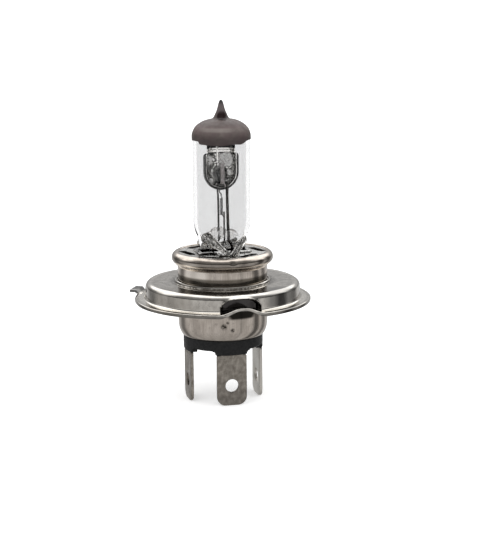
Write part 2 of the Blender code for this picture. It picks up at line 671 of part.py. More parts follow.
def make_terminals(surface, parts):
    """Three flat blades, each with a round hole near its end."""
    hole = arc(0.0, BLADE_BOTTOM + BLADE_HOLE_ABOVE_BOTTOM, BLADE_HOLE_RADIUS, 0.0, 342.0, 19)
    for circuit, frame in blade_frames():
        plate(circuit + "_terminal", [blade_outline(), hole], BLADE_THICKNESS, frame, surface, parts)


def make_insulator(surface, parts, cutters):
    """Moulded disc held in the sleeve's mouth, with a boss and a slot for each blade."""
    profile = [
        (0.0, DISC_TOP), (DISC_BODY_RADIUS, DISC_TOP), (DISC_BODY_RADIUS, DISC_TOP - 2.6 * MM),
        (DISC_BODY_RADIUS - 0.25 * MM, DISC_TOP - 3.8 * MM), (DISC_NECK_RADIUS, DISC_NECK_TOP),
        (DISC_NECK_RADIUS, DISC_NECK_BOTTOM), (DISC_RADIUS, DISC_NECK_BOTTOM - 0.25 * MM),
        (DISC_RADIUS, DISC_BOTTOM + 0.6 * MM), (DISC_RADIUS - 0.55 * MM, DISC_BOTTOM), (0.0, DISC_BOTTOM),
    ]
    disc = turned("insulator_disc", profile, 40, surface, parts)
    half = BLADE_WIDTH / 2.0
    below = BOSS_BOTTOM - 1.3 * MM
    boss_radius = DISC_RADIUS - 0.02 * MM
    for circuit, frame in blade_frames():
        rim = [
            (0.0, BOSS_TOP - 0.2 * MM), (boss_radius, BOSS_TOP - 0.2 * MM),
            (boss_radius, BOSS_BOTTOM + BOSS_CHAMFER), (boss_radius - BOSS_CHAMFER, BOSS_BOTTOM),
            (0.0, BOSS_BOTTOM),
        ]
        boss = turned(circuit + "_boss", rim, 40, None, cutters)
        outline = [(half, BOSS_TOP), (-half, BOSS_TOP), (-half, below), (half, below)]
        column = plate(circuit + "_column", [outline], BOSS_DEPTH, frame, None, cutters)
        combine(boss, column, "INTERSECT")
        combine(disc, boss, "UNION")
    slot_half = BLADE_NECK_WIDTH / 2.0 + GAP
    for circuit, frame in blade_frames():
        outline = [(slot_half, 0.0), (-slot_half, 0.0), (-slot_half, below), (slot_half, below)]
        slot = plate(circuit + "_slot", [outline], BLADE_THICKNESS + 2.0 * GAP, frame, None, cutters)
        combine(disc, slot, "DIFFERENCE")
    return disc


def build():
    """Make every part of the lamp."""
    clear_scene()
    parts = new_collection(MODEL_NAME)
    cutters = new_collection(MODEL_NAME + "_cutters")

    quartz = material("clear_quartz", (0.93, 0.94, 0.95), 0.03, alpha=0.35, transmission=1.0)
    bridge_quartz = material("bridge_quartz", (0.85, 0.86, 0.87), 0.08, alpha=0.6, transmission=0.8)
    paint = material("antiglare_paint", (0.17, 0.13, 0.13), 0.5)
    tungsten = material("tungsten", (0.32, 0.31, 0.3), 0.35, metallic=1.0)
    molybdenum = material("molybdenum", (0.45, 0.44, 0.43), 0.3, metallic=1.0)
    shield_metal = material("shield_molybdenum", (0.5, 0.49, 0.48), 0.2, metallic=1.0)
    lead_nickel = material("nickel_lead", (0.55, 0.53, 0.5), 0.35, metallic=1.0)
    clip_steel = material("spring_steel", (0.62, 0.6, 0.57), 0.2, metallic=1.0)
    plate_steel = material("plate_steel", (0.5, 0.48, 0.46), 0.3, metallic=1.0)
    sleeve_steel = material("nickel_plated_steel", (0.6, 0.56, 0.52), 0.28, metallic=1.0)
    ring_steel = material("pressed_ring_steel", (0.55, 0.52, 0.49), 0.3, metallic=1.0)
    moulding = material("black_moulding", (0.02, 0.02, 0.022), 0.5)
    blade_metal = material("tinned_blade", (0.4, 0.38, 0.36), 0.45, metallic=1.0)

    make_glass_envelope(quartz, parts, cutters)
    make_antiglare_coating(paint, parts)
    make_dipped_beam_filament(tungsten, parts)
    make_main_beam_filament(tungsten, parts)
    make_beam_shield(shield_metal, parts)
    make_support_wires(molybdenum, parts)
    make_quartz_bridge(bridge_quartz, parts, cutters)
    make_seal_foils(molybdenum, parts)
    make_outer_leads(lead_nickel, parts)
    make_pinch_clip(clip_steel, parts, cutters)
    make_cap_top_plate(plate_steel, parts, cutters)
    make_cap_sleeve(sleeve_steel, parts)
    make_flange_ring(ring_steel, parts, cutters)
    make_insulator(moulding, parts, cutters)
    make_terminals(blade_metal, parts)


build()
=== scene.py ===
"""Looks for the two-filament headlight bulb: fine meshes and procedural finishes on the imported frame.

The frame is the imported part's own: the origin is on the lamp's axis in the brim's upper plane, +Z runs
to the glass tip and the dipped-beam blade is on the -Y side. Outlines and routes below are in
millimetres, and finished() turns them into metres.
"""

import math

import bmesh
import bpy
from mathutils import Matrix, Vector, noise


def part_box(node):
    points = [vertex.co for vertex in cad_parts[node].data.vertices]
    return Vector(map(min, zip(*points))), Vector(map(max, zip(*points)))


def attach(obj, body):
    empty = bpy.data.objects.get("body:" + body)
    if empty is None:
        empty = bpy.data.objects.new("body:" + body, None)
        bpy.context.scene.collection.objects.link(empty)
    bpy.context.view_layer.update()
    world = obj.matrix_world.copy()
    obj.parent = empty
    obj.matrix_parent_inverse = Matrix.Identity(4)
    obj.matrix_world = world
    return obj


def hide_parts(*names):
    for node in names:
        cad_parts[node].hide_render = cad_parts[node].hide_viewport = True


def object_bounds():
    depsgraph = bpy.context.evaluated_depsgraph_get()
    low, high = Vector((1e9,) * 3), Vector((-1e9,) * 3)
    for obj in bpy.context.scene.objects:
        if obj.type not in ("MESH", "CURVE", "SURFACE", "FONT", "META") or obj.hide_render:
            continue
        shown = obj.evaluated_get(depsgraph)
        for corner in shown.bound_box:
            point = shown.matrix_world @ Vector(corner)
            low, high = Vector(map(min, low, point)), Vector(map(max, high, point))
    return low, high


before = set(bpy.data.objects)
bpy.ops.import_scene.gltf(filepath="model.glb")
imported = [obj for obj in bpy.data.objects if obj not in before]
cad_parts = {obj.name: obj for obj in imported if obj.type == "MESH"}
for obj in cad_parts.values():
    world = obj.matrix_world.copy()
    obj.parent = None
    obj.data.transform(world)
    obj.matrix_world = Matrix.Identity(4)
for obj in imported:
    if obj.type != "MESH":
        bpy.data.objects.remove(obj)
CAD_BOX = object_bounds()

MM = 0.001
FULL_TURN = 2.0 * math.pi
HALF_TURN = math.pi
QUARTER_TURN = math.pi / 2.0
WELD = 0.0005
ROUND_STEPS = 192


def box_mm(node):
    """Lowest and highest corner of a CAD node, in millimetres."""
    low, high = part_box(node)
    return low / MM, high / MM


GAP = 0.1

RING_LOW, RING_HIGH = box_mm("flange_ring")
RING_SHEET = -RING_LOW.z
BRIM_RADIUS = -RING_LOW.y
COLLAR_HEIGHT = 0.45
STEP_HEIGHT = RING_HIGH.z - COLLAR_HEIGHT
STEP_RADIUS = 19.0
STEP_CORNER = 1.25
STEP_DRAFT = 0.3
STEP_FOOT = 0.5
BRIM_EDGE = 0.3
COLLAR_FILLET = 0.2
ARCH_HALF_WIDTH = 5.9
ARCH_RISE = 1.5
ARCH_SLOPE = 5.4
ARCH_THIN = 0.3
ARCH_START_RADIUS = 18.6
ARCH_RUN = 1.6
UNDERSIDE = -0.3
POCKET_DEPTH = 1.9
POCKET_HALF_WIDTH = 5.7
POCKET_EDGE = 0.7
POCKET_LIP = 0.16
POCKET_LIP_ABOVE = 0.05
POCKET_LIP_WIDTH = 0.22
POCKET_INNER, POCKET_INNER_RUN = 17.6, 0.4
POCKET_OUTER, POCKET_OUTER_RUN = 20.4, 1.2
POCKET_FOOT = 0.7
POCKET_CROWN = 2.5
POCKET_POWER = 2.6
POCKET_TOP_EDGE = 0.5
LUG_ANGLES = (30.0, 150.0)
LUG_REACH = 23.3
LUG_WIDTH = 5.0
LUG_RAISE = 0.85
LUG_SHEET = 0.6

SLEEVE_LOW, SLEEVE_HIGH = box_mm("cap_sleeve")
SLEEVE_SHEET = 0.35
SLEEVE_RADIUS = 10.95
SLEEVE_MOUTH = 10.0
BEAD_ROLL = 1.45
BEAD_RADIUS = SLEEVE_HIGH.x - BEAD_ROLL
BEAD_HEIGHT = SLEEVE_HIGH.z - BEAD_ROLL
BEAD_FOOT = 7.95

PLATE_LOW, PLATE_HIGH = box_mm("cap_top_plate")
SLOT_LENGTH = 6.2
SLOT_WIDTH = 1.9
SLOT_RADIUS = 8.7
SLOT_PLACES = ((0.0, 18.0), (180.0, 18.0), (58.0, 0.0), (122.0, 0.0), (238.0, 0.0), (302.0, 0.0))

GLASS_LOW, GLASS_HIGH = box_mm("glass_envelope")
GLASS_RADIUS = GLASS_HIGH.x
GLASS_WALL = 0.95
PINCH_HALF_X = 5.5
PINCH_HALF_Y = 2.1
DOME_BASE = 38.9
DOME_HEIGHT = 4.75
CHAMBER_FLOOR = 12.6

PAINT_LOW, PAINT_HIGH = box_mm("antiglare_coating")
PAINT_RADIUS = PAINT_HIGH.x
PAINT_THICKNESS = 0.14

SHIELD_LOW, SHIELD_HIGH = box_mm("beam_shield")
SHIELD_RADIUS = SHIELD_HIGH.x
SHIELD_SHEET = 0.22
SHIELD_RIM = 34.8
SHIELD_NECK_RADIUS = 3.5
SHIELD_DEPTH_RATIO = 0.78
SHIELD_LID_EDGE = 0.25

DISC_LOW, DISC_HIGH = box_mm("insulator_disc")
DISC_RADIUS = 9.75
DISC_BOTTOM = -11.8
DISC_BODY_RADIUS = 10.25
DISC_NECK_RADIUS = 9.5
BOSS_FILLET = 0.8
BOSS_DEPTH = 2.6
BLADE_LOW, BLADE_HIGH = box_mm("dipped_beam_terminal")
BLADE_THICKNESS = BLADE_HIGH.y - BLADE_LOW.y
BLADE_DISTANCE = -(BLADE_HIGH.y + BLADE_LOW.y) / 2.0
BLADE_WIDTH = BLADE_HIGH.x - BLADE_LOW.x
BLADE_NECK_WIDTH = 5.6
BLADE_CORNER = 2.2
BLADE_HOLE_RADIUS = 1.62
BLADE_HOLE_ABOVE_BOTTOM = 4.9

# Camera: how the lamp is turned to it, and where it stands
VIEW_TURN = math.radians(13.31)
VIEW_RISE = math.radians(12.39)
VIEW_DISTANCE = 410.9
VIEW_ROLL = math.radians(-0.58)
VIEW_FOCAL = 126.25
VIEW_SENSOR = 36.0
VIEW_CENTRE_HEIGHT = -0.3
VIEW_AIM_RIGHT = 3.98
VIEW_AIM_UP = 7.5


# ---------------------------------------------------------------- mesh tools


def finished(shape):
    """Turn a bmesh in millimetres into a welded mesh in metres with outward faces."""
    bmesh.ops.remove_doubles(shape, verts=shape.verts, dist=WELD)
    bmesh.ops.dissolve_degenerate(shape, edges=shape.edges, dist=WELD)
    bmesh.ops.recalc_face_normals(shape, faces=shape.faces)
    bmesh.ops.scale(shape, vec=(MM, MM, MM), verts=shape.verts)
    mesh = bpy.data.meshes.new("shape")
    shape.to_mesh(mesh)
    shape.free()
    return mesh


def arc(centre_r, centre_z, radius, start_deg, end_deg, steps):
    """Points of an arc in the (radius, height) plane."""
    points = []
    for step in range(steps + 1):
        angle = math.radians(start_deg + (end_deg - start_deg) * step / steps)
        points.append((centre_r + radius * math.cos(angle), centre_z + radius * math.sin(angle)))
    return points


def line(start, end, steps):
    """Points between two points, without the first."""
    return [tuple(a + (b - a) * step / steps for a, b in zip(start, end)) for step in range(1, steps + 1)]


def sheet(face, thickness):
    """Closed outline of bent sheet: outer face as given, inner face to the right, edges rounded."""
    path = [Vector(point) for point in face]
    inner = []
    tangents = []
    for index, point in enumerate(path):
        before = (point - path[index - 1]).normalized() if index else None
        after = (path[index + 1] - point).normalized() if index + 1 < len(path) else None
        incoming = before or after
        middle = (incoming + (after or before)).normalized()
        tangents.append(middle)
        right = Vector((middle.y, -middle.x))
        spread = max(0.5, right.dot(Vector((incoming.y, -incoming.x))))
        inner.append(point + right * thickness / spread)
    outline = list(path)
    for outer, inside, out_of_end in ((path[-1], inner[-1], tangents[-1]), (inner[0], path[0], -tangents[0])):
        middle = (outer + inside) / 2.0
        for angle in (HALF_TURN * 0.25, HALF_TURN * 0.5, HALF_TURN * 0.75):
            bulge = out_of_end * thickness * 0.4 * math.sin(angle)
            outline.append(middle + (outer - middle) * math.cos(angle) + bulge)
        if outer is path[-1]:
            outline += reversed(inner)
    return [tuple(point) for point in outline]


def lathe(outline, steps=ROUND_STEPS, turn=FULL_TURN):
    """Turn a closed (radius, height) outline about Z into a solid."""
    shape = bmesh.new()
    whole = turn > FULL_TURN - 0.001
    columns = []
    for column in range(steps if whole else steps + 1):
        angle = turn * column / steps
        cosine, sine = math.cos(angle), math.sin(angle)
        around = [(radius * cosine, radius * sine, height) for radius, height in outline]
        columns.append([shape.verts.new(point) for point in around])
    for column in range(steps):
        here, there = columns[column], columns[(column + 1) % len(columns)]
        for index in range(len(outline)):
            following = (index + 1) % len(outline)
            shape.faces.new((here[index], there[index], there[following], here[following]))
    if not whole:
        shape.faces.new(columns[0])
        shape.faces.new(columns[-1])
    return finished(shape)


def eased(value):
    """Ease a value from 0 to 1, and hold it outside that range."""
    held = min(1.0, max(0.0, value))
    return held * held * (3.0 - 2.0 * held)


def smooth_path(points, per_span):
    """Points of a Catmull-Rom curve through the given points, of any dimension."""
    knots = [Vector(point) for point in points]
    knots = [knots[0] * 2.0 - knots[1]] + knots + [knots[-1] * 2.0 - knots[-2]]
    path = []
    for index in range(1, len(knots) - 2):
        before, start, end, after = knots[index - 1:index + 3]
        for step in range(per_span):
            t = step / per_span
            bend = 2.0 * before - 5.0 * start + 4.0 * end - after
            twist = 3.0 * start - before - 3.0 * end + after
            path.append(0.5 * (2.0 * start + (end - before) * t + bend * t * t + twist * t ** 3))
    path.append(knots[-2])
    return path


def section_ring(shape, height, half_x, half_y, power, count):
    """Vertices of a rounded outline at one height; power 2 is an ellipse, and a higher one is squarer."""
    ring = []
    for index in range(count):
        angle = FULL_TURN * index / count
        cosine, sine = math.cos(angle), math.sin(angle)
        x = half_x * math.copysign(abs(cosine) ** (2.0 / power), cosine)
        y = half_y * math.copysign(abs(sine) ** (2.0 / power), sine)
        ring.append(shape.verts.new((x, y, height)))
    return ring


def loft(sections, count=96):
    """Join rounded outlines from bottom to top into one closed solid, as a bmesh."""
    shape = bmesh.new()
    rings = [section_ring(shape, *section, count) for section in sections]
    for lower, upper in zip(rings, rings[1:]):
        for index in range(count):
            following = (index + 1) % count
            shape.faces.new((lower[index], lower[following], upper[following], upper[index]))
    shape.faces.new(rings[0])
    shape.faces.new(rings[-1])
    bmesh.ops.recalc_face_normals(shape, faces=shape.faces)
    return shape


def temporary(data):
    """A helper object that is only there to be evaluated."""
    thing = bpy.data.objects.new("temporary", data)
    bpy.context.scene.collection.objects.link(thing)
    return thing


def evaluated(thing):
    """The mesh of an object with its modifiers, in place; the object is removed."""
    bpy.context.view_layer.update()
    mesh = bpy.data.meshes.new_from_object(thing.evaluated_get(bpy.context.evaluated_depsgraph_get()))
    mesh.transform(thing.matrix_world)
    bpy.data.objects.remove(thing, do_unlink=True)
    shape = bmesh.new()
    shape.from_mesh(mesh)
    bmesh.ops.remove_doubles(shape, verts=shape.verts, dist=WELD * MM)
    bmesh.ops.recalc_face_normals(shape, faces=shape.faces)
    shape.to_mesh(mesh)
    shape.free()
    return mesh


def combined(base, others, operation):
    """Join other solids to a base, or cut them from it."""
    thing = temporary(base)
    helpers = [temporary(other) for other in others]
    for helper in helpers:
        boolean = thing.modifiers.new("combine", "BOOLEAN")
        boolean.solver = "EXACT"
        boolean.operation = operation
        boolean.object = helper
    result = evaluated(thing)
    for helper in helpers:
        bpy.data.objects.remove(helper, do_unlink=True)
    return result


def plate(outlines, thickness, edge, matrix=Matrix.Identity(4)):
    """Flat plate with rounded edges from closed outlines in its XY plane; one inside another is a hole."""
    curve = bpy.data.curves.new("plate", "CURVE")
    curve.dimensions = "2D"
    curve.fill_mode = "BOTH"
    curve.extrude = (thickness / 2.0 - edge) * MM
    curve.bevel_depth = edge * MM
    curve.bevel_resolution = 2
    curve.offset = -edge * MM
    for outline in outlines:
        spline = curve.splines.new("POLY")
        spline.points.add(len(outline) - 1)
        for point, (across, along) in zip(spline.points, outline):
            point.co = (across * MM, along * MM, 0.0, 1.0)
        spline.use_cyclic_u = True
    thing = temporary(curve)
    placed = matrix.copy()
    placed.translation *= MM
    thing.matrix_world = placed
    return evaluated(thing)


def wire(route, radius, per_span=8, sides=4):
    """Round wire through points; per_span 0 keeps the points as they are."""
    path = smooth_path(route, per_span) if per_span else [Vector(point) for point in route]
    curve = bpy.data.curves.new("wire", "CURVE")
    curve.dimensions = "3D"
    curve.bevel_depth = radius * MM
    curve.bevel_resolution = sides
    curve.use_fill_caps = True
    spline = curve.splines.new("POLY")
    spline.points.add(len(path) - 1)
    for point, spot in zip(spline.points, path):
        point.co = (*(spot * MM), 1.0)
    return evaluated(temporary(curve))


def block(low, high, edge=0.0, segments=3):
    """Box between two corners, with rounded edges where edge is given."""
    size = Vector(high) - Vector(low)
    middle = (Vector(high) + Vector(low)) / 2.0
    shape = bmesh.new()
    bmesh.ops.create_cube(shape, size=1.0, matrix=Matrix.Translation(middle) @ Matrix.Diagonal((*size, 1.0)))
    if edge > 0.0:
        bmesh.ops.bevel(shape, geom=shape.edges, offset=edge, segments=segments, profile=0.5, affect="EDGES")
    return finished(shape)


def joined(*meshes):
    """Put several meshes into one."""
    shape = bmesh.new()
    for mesh in meshes:
        shape.from_mesh(mesh)
    result = bpy.data.meshes.new("joined")
    shape.to_mesh(result)
    shape.free()
    return result


def ripple(mesh, size, depth, seed=0.0):
    """Move vertices along their normals by smooth noise, so that a formed surface isn't perfect."""
    offsets = []
    for vertex in mesh.vertices:
        spot = vertex.co / (size * MM) + Vector((seed, seed, seed))
        offsets.append(vertex.normal * noise.noise(spot) * depth * MM)
    for vertex, offset in zip(mesh.vertices, offsets):
        vertex.co += offset
    return mesh


def show(name, mesh, finish, slot, *nodes, sharp=35.0):
    """Make a piece of a finished mesh: it rides on the lamp and stands for the CAD nodes named."""
    mesh.materials.clear()
    mesh.materials.append(finish)
    mesh.shade_smooth()
    mesh.set_sharp_from_angle(angle=math.radians(sharp))
    thing = bpy.data.objects.new(name, mesh)
    bpy.context.scene.collection.objects.link(thing)
    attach(thing, "root")
    if nodes:
        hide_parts(*nodes)
    return thing


# ---------------------------------------------------------------- finishes


def add_node(tree, kind, values, settings):
    """Add a shader node; a value that is another node's output is linked."""
    node = tree.nodes.new("ShaderNode" + kind)
    for key, value in settings.items():
        setattr(node, key, value)
    for key, value in values.items():
        if isinstance(value, bpy.types.NodeSocket):
            tree.links.new(value, node.inputs[key])
        else:
            node.inputs[key].default_value = value
    return node


class Finish:
    """A Principled material whose patterns are laid out in millimetres on the lamp's own axes."""

    def __init__(self, name, sockets):
        self.material = bpy.data.materials.new(name)
        self.material.use_nodes = True
        self.tree = self.material.node_tree
        self.shader = self.tree.nodes["Principled BSDF"]
        for socket, value in sockets.items():
            self.shader.inputs[socket].default_value = value

    def add(self, kind, values, **settings):
        """Add a node to this material."""
        return add_node(self.tree, kind, values, settings)

    def link(self, socket, output):
        """Feed a pattern into one of the shader's sockets."""
        self.tree.links.new(output, self.shader.inputs[socket])

    def grain(self, size, stretch=(1.0, 1.0, 1.0), detail=3.0, shift=0.0):
        """Noise with features of about the given size in millimetres, drawn out along the axes by stretch."""
        scale = [1.0 / (size * MM * draw) for draw in stretch]
        values = {"Vector": self.place(), "Scale": scale, "Location": (shift, shift, shift)}
        mapped = self.add("Mapping", values).outputs["Vector"]
        pattern = self.add("TexNoise", {"Vector": mapped, "Scale": 1.0, "Detail": detail})
        return pattern.outputs[0]

    def place(self):
        """Where a point lies, on the lamp's own axes and in metres."""
        return self.add("TexCoord", {}).outputs["Object"]

    def radius(self):
        """Distance from the lamp's axis, in metres."""
        apart = self.add("SeparateXYZ", {"Vector": self.place()})
        flat = self.add("CombineXYZ", {"X": apart.outputs["X"], "Y": apart.outputs["Y"], "Z": 0.0})
        return self.add("VectorMath", {0: flat.outputs["Vector"]}, operation="LENGTH").outputs["Value"]

    def step(self, value, low, high, first=0.0, last=1.0):
        """Ease from one number to another while a value passes between two distances in millimetres."""
        values = {"Value": value, "From Min": low * MM, "From Max": high * MM}
        values.update({"To Min": first, "To Max": last})
        return self.add("MapRange", values, interpolation_type="SMOOTHSTEP").outputs["Result"]

    def within(self, inner, outer):
        """1 nearer to the axis than one radius in millimetres, 0 beyond another."""
        return self.step(self.radius(), inner, outer, 1.0, 0.0)

    def beyond(self, inner, outer):
        """0 nearer to the axis than one radius in millimetres, 1 beyond another."""
        return self.opposite(self.within(inner, outer))

    def rings(self, size, detail=2.0):
        """Noise that only changes with the distance from the lamp's axis, as spun or turned marks do."""
        scaled = self.times(self.radius(), 1.0 / (size * MM))
        spot = self.add("CombineXYZ", {"X": scaled, "Y": 3.7, "Z": 1.3}).outputs["Vector"]
        return self.add("TexNoise", {"Vector": spot, "Scale": 1.0, "Detail": detail}).outputs[0]

    def near(self, spot, radius, core=0.35):
        """1 around a point in millimetres, falling to 0 at a radius from it."""
        values = {0: self.place(), 1: [value * MM for value in spot]}
        away = self.add("VectorMath", values, operation="DISTANCE").outputs["Value"]
        return self.step(away, core * radius, radius, 1.0, 0.0)

    def height(self, low, high):
        """0 below one height in millimetres, 1 above another."""
        level = self.add("SeparateXYZ", {"Vector": self.place()}).outputs["Z"]
        return self.step(level, low, high)

    def below(self, low, high):
        """1 below one height in millimetres, 0 above another."""
        return self.opposite(self.height(low, high))

    def spread(self, pattern, low, high, start=0.3, end=0.7):
        """Numbers from low to high over a pattern's middle range."""
        values = {"Value": pattern, "From Min": start, "From Max": end, "To Min": low, "To Max": high}
        return self.add("MapRange", values).outputs["Result"]

    def tones(self, pattern, *stops):
        """Colours over a pattern; each stop is its place from 0 to 1 and a colour."""
        ramp = self.add("ValToRGB", {"Fac": pattern})
        elements = ramp.color_ramp.elements
        for element, (spot, colour) in ((elements[0], stops[0]), (elements[1], stops[-1])):
            element.position = spot
            element.color = (*colour, 1.0)
        for spot, colour in stops[1:-1]:
            elements.new(spot).color = (*colour, 1.0)
        return ramp.outputs["Color"]

    def mixed(self, share, first, second):
        """Two colours mixed by a share, a number or a pattern."""
        values = {"Fac": share, "Color1": first, "Color2": second}
        return self.add("MixRGB", values).outputs["Color"]

    def tinted(self, tones, share, colour, strength=1.0):
        """Colours turned towards one colour, by a pattern times a strength."""
        if strength < 1.0:
            share = self.times(share, strength)
        return self.mixed(share, tones, (*colour, 1.0))

    def maths(self, operation, first, second):
        """Two numbers or patterns put together."""
        return self.add("Math", {0: first, 1: second}, operation=operation).outputs["Value"]

    def times(self, first, second):
        """Product of two numbers or patterns."""
        return self.maths("MULTIPLY", first, second)

    def opposite(self, pattern):
        """1 where a pattern is 0, and 0 where it is 1."""
        return self.maths("SUBTRACT", 1.0, pattern)

    def relief(self, *layers):
        """Bump from patterns, each given with its depth in millimetres."""
        normal = None
        for pattern, depth in layers:
            values = {"Height": pattern, "Strength": 1.0, "Distance": depth * MM}
            if normal is not None:
                values["Normal"] = normal
            normal = self.add("Bump", values).outputs["Normal"]
        self.link("Normal", normal)

    def complete(self, tones, rough, *layers):
        """The material, with its colours, its roughness and its relief."""
        self.link("Base Color", tones)
        self.link("Roughness", rough)
        self.relief(*layers)
        return self.material


def clear_quartz():
    """Drawn quartz tube: faintly grey, with slow draw lines along its length."""
    finish = Finish("clear_quartz", {"IOR": 1.2, "Transmission Weight": 1.0, "Metallic": 0.0})
    body = finish.grain(3.0, (1.0, 1.0, 6.0), 2.0)
    finish.link("Base Color", finish.tones(body, (0.3, (0.69, 0.69, 0.692)), (0.7, (0.712, 0.712, 0.713))))
    finish.link("Roughness", finish.spread(finish.grain(0.8, (1.0, 1.0, 4.0)), 0.0, 0.003))
    finish.relief((finish.grain(2.6, (1.0, 1.0, 8.0), 1.0), 0.004))
    return finish.material


def bridge_quartz():
    """Flame-worked quartz, a little milky, warmer and more uneven than the tube."""
    finish = Finish("bridge_quartz", {"IOR": 1.16, "Transmission Weight": 0.85})
    body = finish.grain(0.9, detail=3.0)
    tones = finish.tones(
        body, (0.34, (0.75, 0.71, 0.68)), (0.42, (0.98, 0.97, 0.96)), (0.7, (1.0, 0.995, 0.99))
    )
    rough = finish.spread(body, 0.03, 0.1)
    return finish.complete(tones, rough, (finish.grain(0.4), 0.04))


def antiglare_paint():
    """Mauve-brown dip paint, blotched, with a darker glossy run round the spike's foot and a burnt tip."""
    finish = Finish("antiglare_paint", {"Specular IOR Level": 0.35})
    mottle = finish.grain(1.4, (1.4, 1.4, 0.8), 5.0)
    base = finish.tones(
        mottle, (0.28, (0.09, 0.07, 0.065)), (0.52, (0.138, 0.111, 0.102)), (0.75, (0.19, 0.158, 0.143))
    )
    rosy = finish.spread(finish.grain(2.8, detail=1.0, shift=5.0), 0.0, 0.6)
    base = finish.tinted(base, rosy, (0.14, 0.094, 0.096))
    # Painted shade: the paint's lower part is darkened.
    lower = finish.below(38.4, 41.2)
    base = finish.tinted(base, lower, (0.035, 0.026, 0.028), 0.6)
    # Painted shade: the top of the dome is darkened.
    crown = finish.times(finish.height(41.9, 42.6), 0.5)
    base = finish.tinted(base, crown, (0.06, 0.047, 0.045))
    # Painted highlight: a light band across the dome's front.
    painted_highlight_band = finish.times(finish.height(40.7, 41.2), finish.below(41.6, 42.1))
    painted_highlight_band = finish.times(painted_highlight_band, finish.near((-2.4, -5.9, 41.4), 5.6, 0.4))
    base = finish.tinted(base, painted_highlight_band, (0.27, 0.24, 0.22), 0.55)
    run = finish.near((-0.1, -1.75, 44.3), 1.8, 0.6)
    base = finish.tinted(base, run, (0.016, 0.006, 0.007))
    spike = finish.height(44.6, 46.2)
    base = finish.tinted(base, spike, (0.19, 0.16, 0.168), 0.5)
    point = finish.height(46.6, 47.9)
    base = finish.tinted(base, point, (0.025, 0.025, 0.027))
    rough = finish.spread(finish.grain(0.6), 0.42, 0.58)
    rough = finish.maths("SUBTRACT", rough, finish.times(run, 0.3))
    return finish.complete(
        base, rough, (finish.grain(0.2, detail=2.0), 0.018), (finish.grain(1.3, (1.6, 1.6, 0.8), 2.0), 0.05)
    )


def tungsten():
    """Drawn tungsten, grey with a faint rose cast, rough at the scale of the wire."""
    finish = Finish("tungsten", {"Metallic": 1.0})
    tones = finish.tones(finish.grain(0.12), (0.3, (0.4, 0.37, 0.37)), (0.7, (0.8, 0.75, 0.74)))
    # Painted shade: below 25 mm, on the main coil, the tungsten is made near black.
    tones = finish.mixed(finish.height(25.0, 26.0), (0.02, 0.019, 0.018, 1.0), tones)
    rough = finish.spread(finish.grain(0.07), 0.3, 0.5)
    return finish.complete(tones, rough, (finish.grain(0.06), 0.006))


def shield_metal():
    """Polished molybdenum sheet, dark, with heat stains, painted glints in the bowl and fine draw marks."""
    finish = Finish("shield_metal", {"Metallic": 1.0})
    stain = finish.grain(0.55, detail=4.0)
    tones = finish.tones(
        stain, (0.4, (0.015, 0.015, 0.014)), (0.5, (0.22, 0.215, 0.205)), (0.6, (0.8, 0.79, 0.77))
    )
    burnt = finish.times(finish.near((0.4, 3.3, 29.6), 2.6, 0.5), 0.85)
    tones = finish.tinted(tones, burnt, (0.012, 0.012, 0.012))
    # Painted glints: near-white, non-metal spots where the bowl shows bright reflections.
    painted_glints = finish.near((1.9, 3.0, 33.3), 2.1, 0.7)
    for spot, size in (((-2.5, 2.7, 33.4), 1.3), ((-2.2, 2.4, 28.2), 0.9), ((2.7, 2.4, 30.2), 0.8)):
        painted_glints = finish.maths("MAXIMUM", painted_glints, finish.near(spot, size, 0.5))
    broken = finish.spread(finish.grain(0.5, detail=3.0, shift=8.0), 0.25, 1.0, 0.36, 0.46)
    painted_glints = finish.times(painted_glints, broken)
    tones = finish.tinted(tones, painted_glints, (0.99, 0.98, 0.96))
    # Painted highlight: the neck above the rim is made near white.
    tones = finish.tinted(tones, finish.height(35.2, 35.3), (0.97, 0.95, 0.92))
    band = finish.times(finish.height(35.72, 35.78), finish.below(35.9, 35.96))
    tones = finish.tinted(tones, band, (0.3, 0.29, 0.28))
    # Painted shade: the top under the paint is made near black.
    tones = finish.tinted(tones, finish.height(36.2, 36.3), (0.02, 0.018, 0.018))
    finish.link("Metallic", finish.opposite(painted_glints))
    rough = finish.spread(finish.grain(0.5, shift=2.0), 0.05, 0.16)
    return finish.complete(
        tones, rough, (finish.grain(0.6, (1.0, 1.0, 0.6), 3.0), 0.1),
        (finish.grain(0.1, (4.0, 4.0, 1.0)), 0.004),
    )


def rim_metal():
    """The shield's rolled rim: painted black reflection outside, a painted highlight along its inner side."""
    finish = Finish("rim_metal", {"Metallic": 1.0})
    apart = finish.add("SeparateXYZ", {"Vector": finish.place()})
    centre = (SHIELD_LOW.z + SHIELD_RADIUS) * MM
    under = finish.maths("MINIMUM", finish.maths("SUBTRACT", apart.outputs["Z"], centre), 0.0)
    flat = finish.add("CombineXYZ", {"X": apart.outputs["X"], "Y": 0.0, "Z": under}).outputs["Vector"]
    reach = finish.add("VectorMath", {0: flat}, operation="LENGTH").outputs["Value"]
    wander = finish.times(finish.grain(0.9, detail=2.0), 0.25 * MM)
    reach = finish.maths("ADD", reach, wander)
    inner, outer = (SHIELD_RADIUS - 0.55) * MM, (SHIELD_RADIUS + 0.35) * MM
    across = finish.add("MapRange", {"Value": reach, "From Min": inner, "From Max": outer}).outputs["Result"]
    # Painted highlight along the rim's inner side, painted dark reflection across the rest, and a faint
    # painted highlight outside.
    tones = finish.tones(
        across, (0.0, (0.1, 0.1, 0.1)), (0.14, (0.98, 0.97, 0.95)), (0.27, (0.9, 0.89, 0.87)),
        (0.36, (0.01, 0.01, 0.01)), (0.7, (0.03, 0.03, 0.03)), (0.85, (0.3, 0.3, 0.29)),
        (1.0, (0.04, 0.04, 0.04)),
    )
    rough = finish.spread(finish.grain(0.4, shift=2.0), 0.06, 0.16)
    return finish.complete(tones, rough, (finish.grain(0.9, detail=1.0), 0.03))


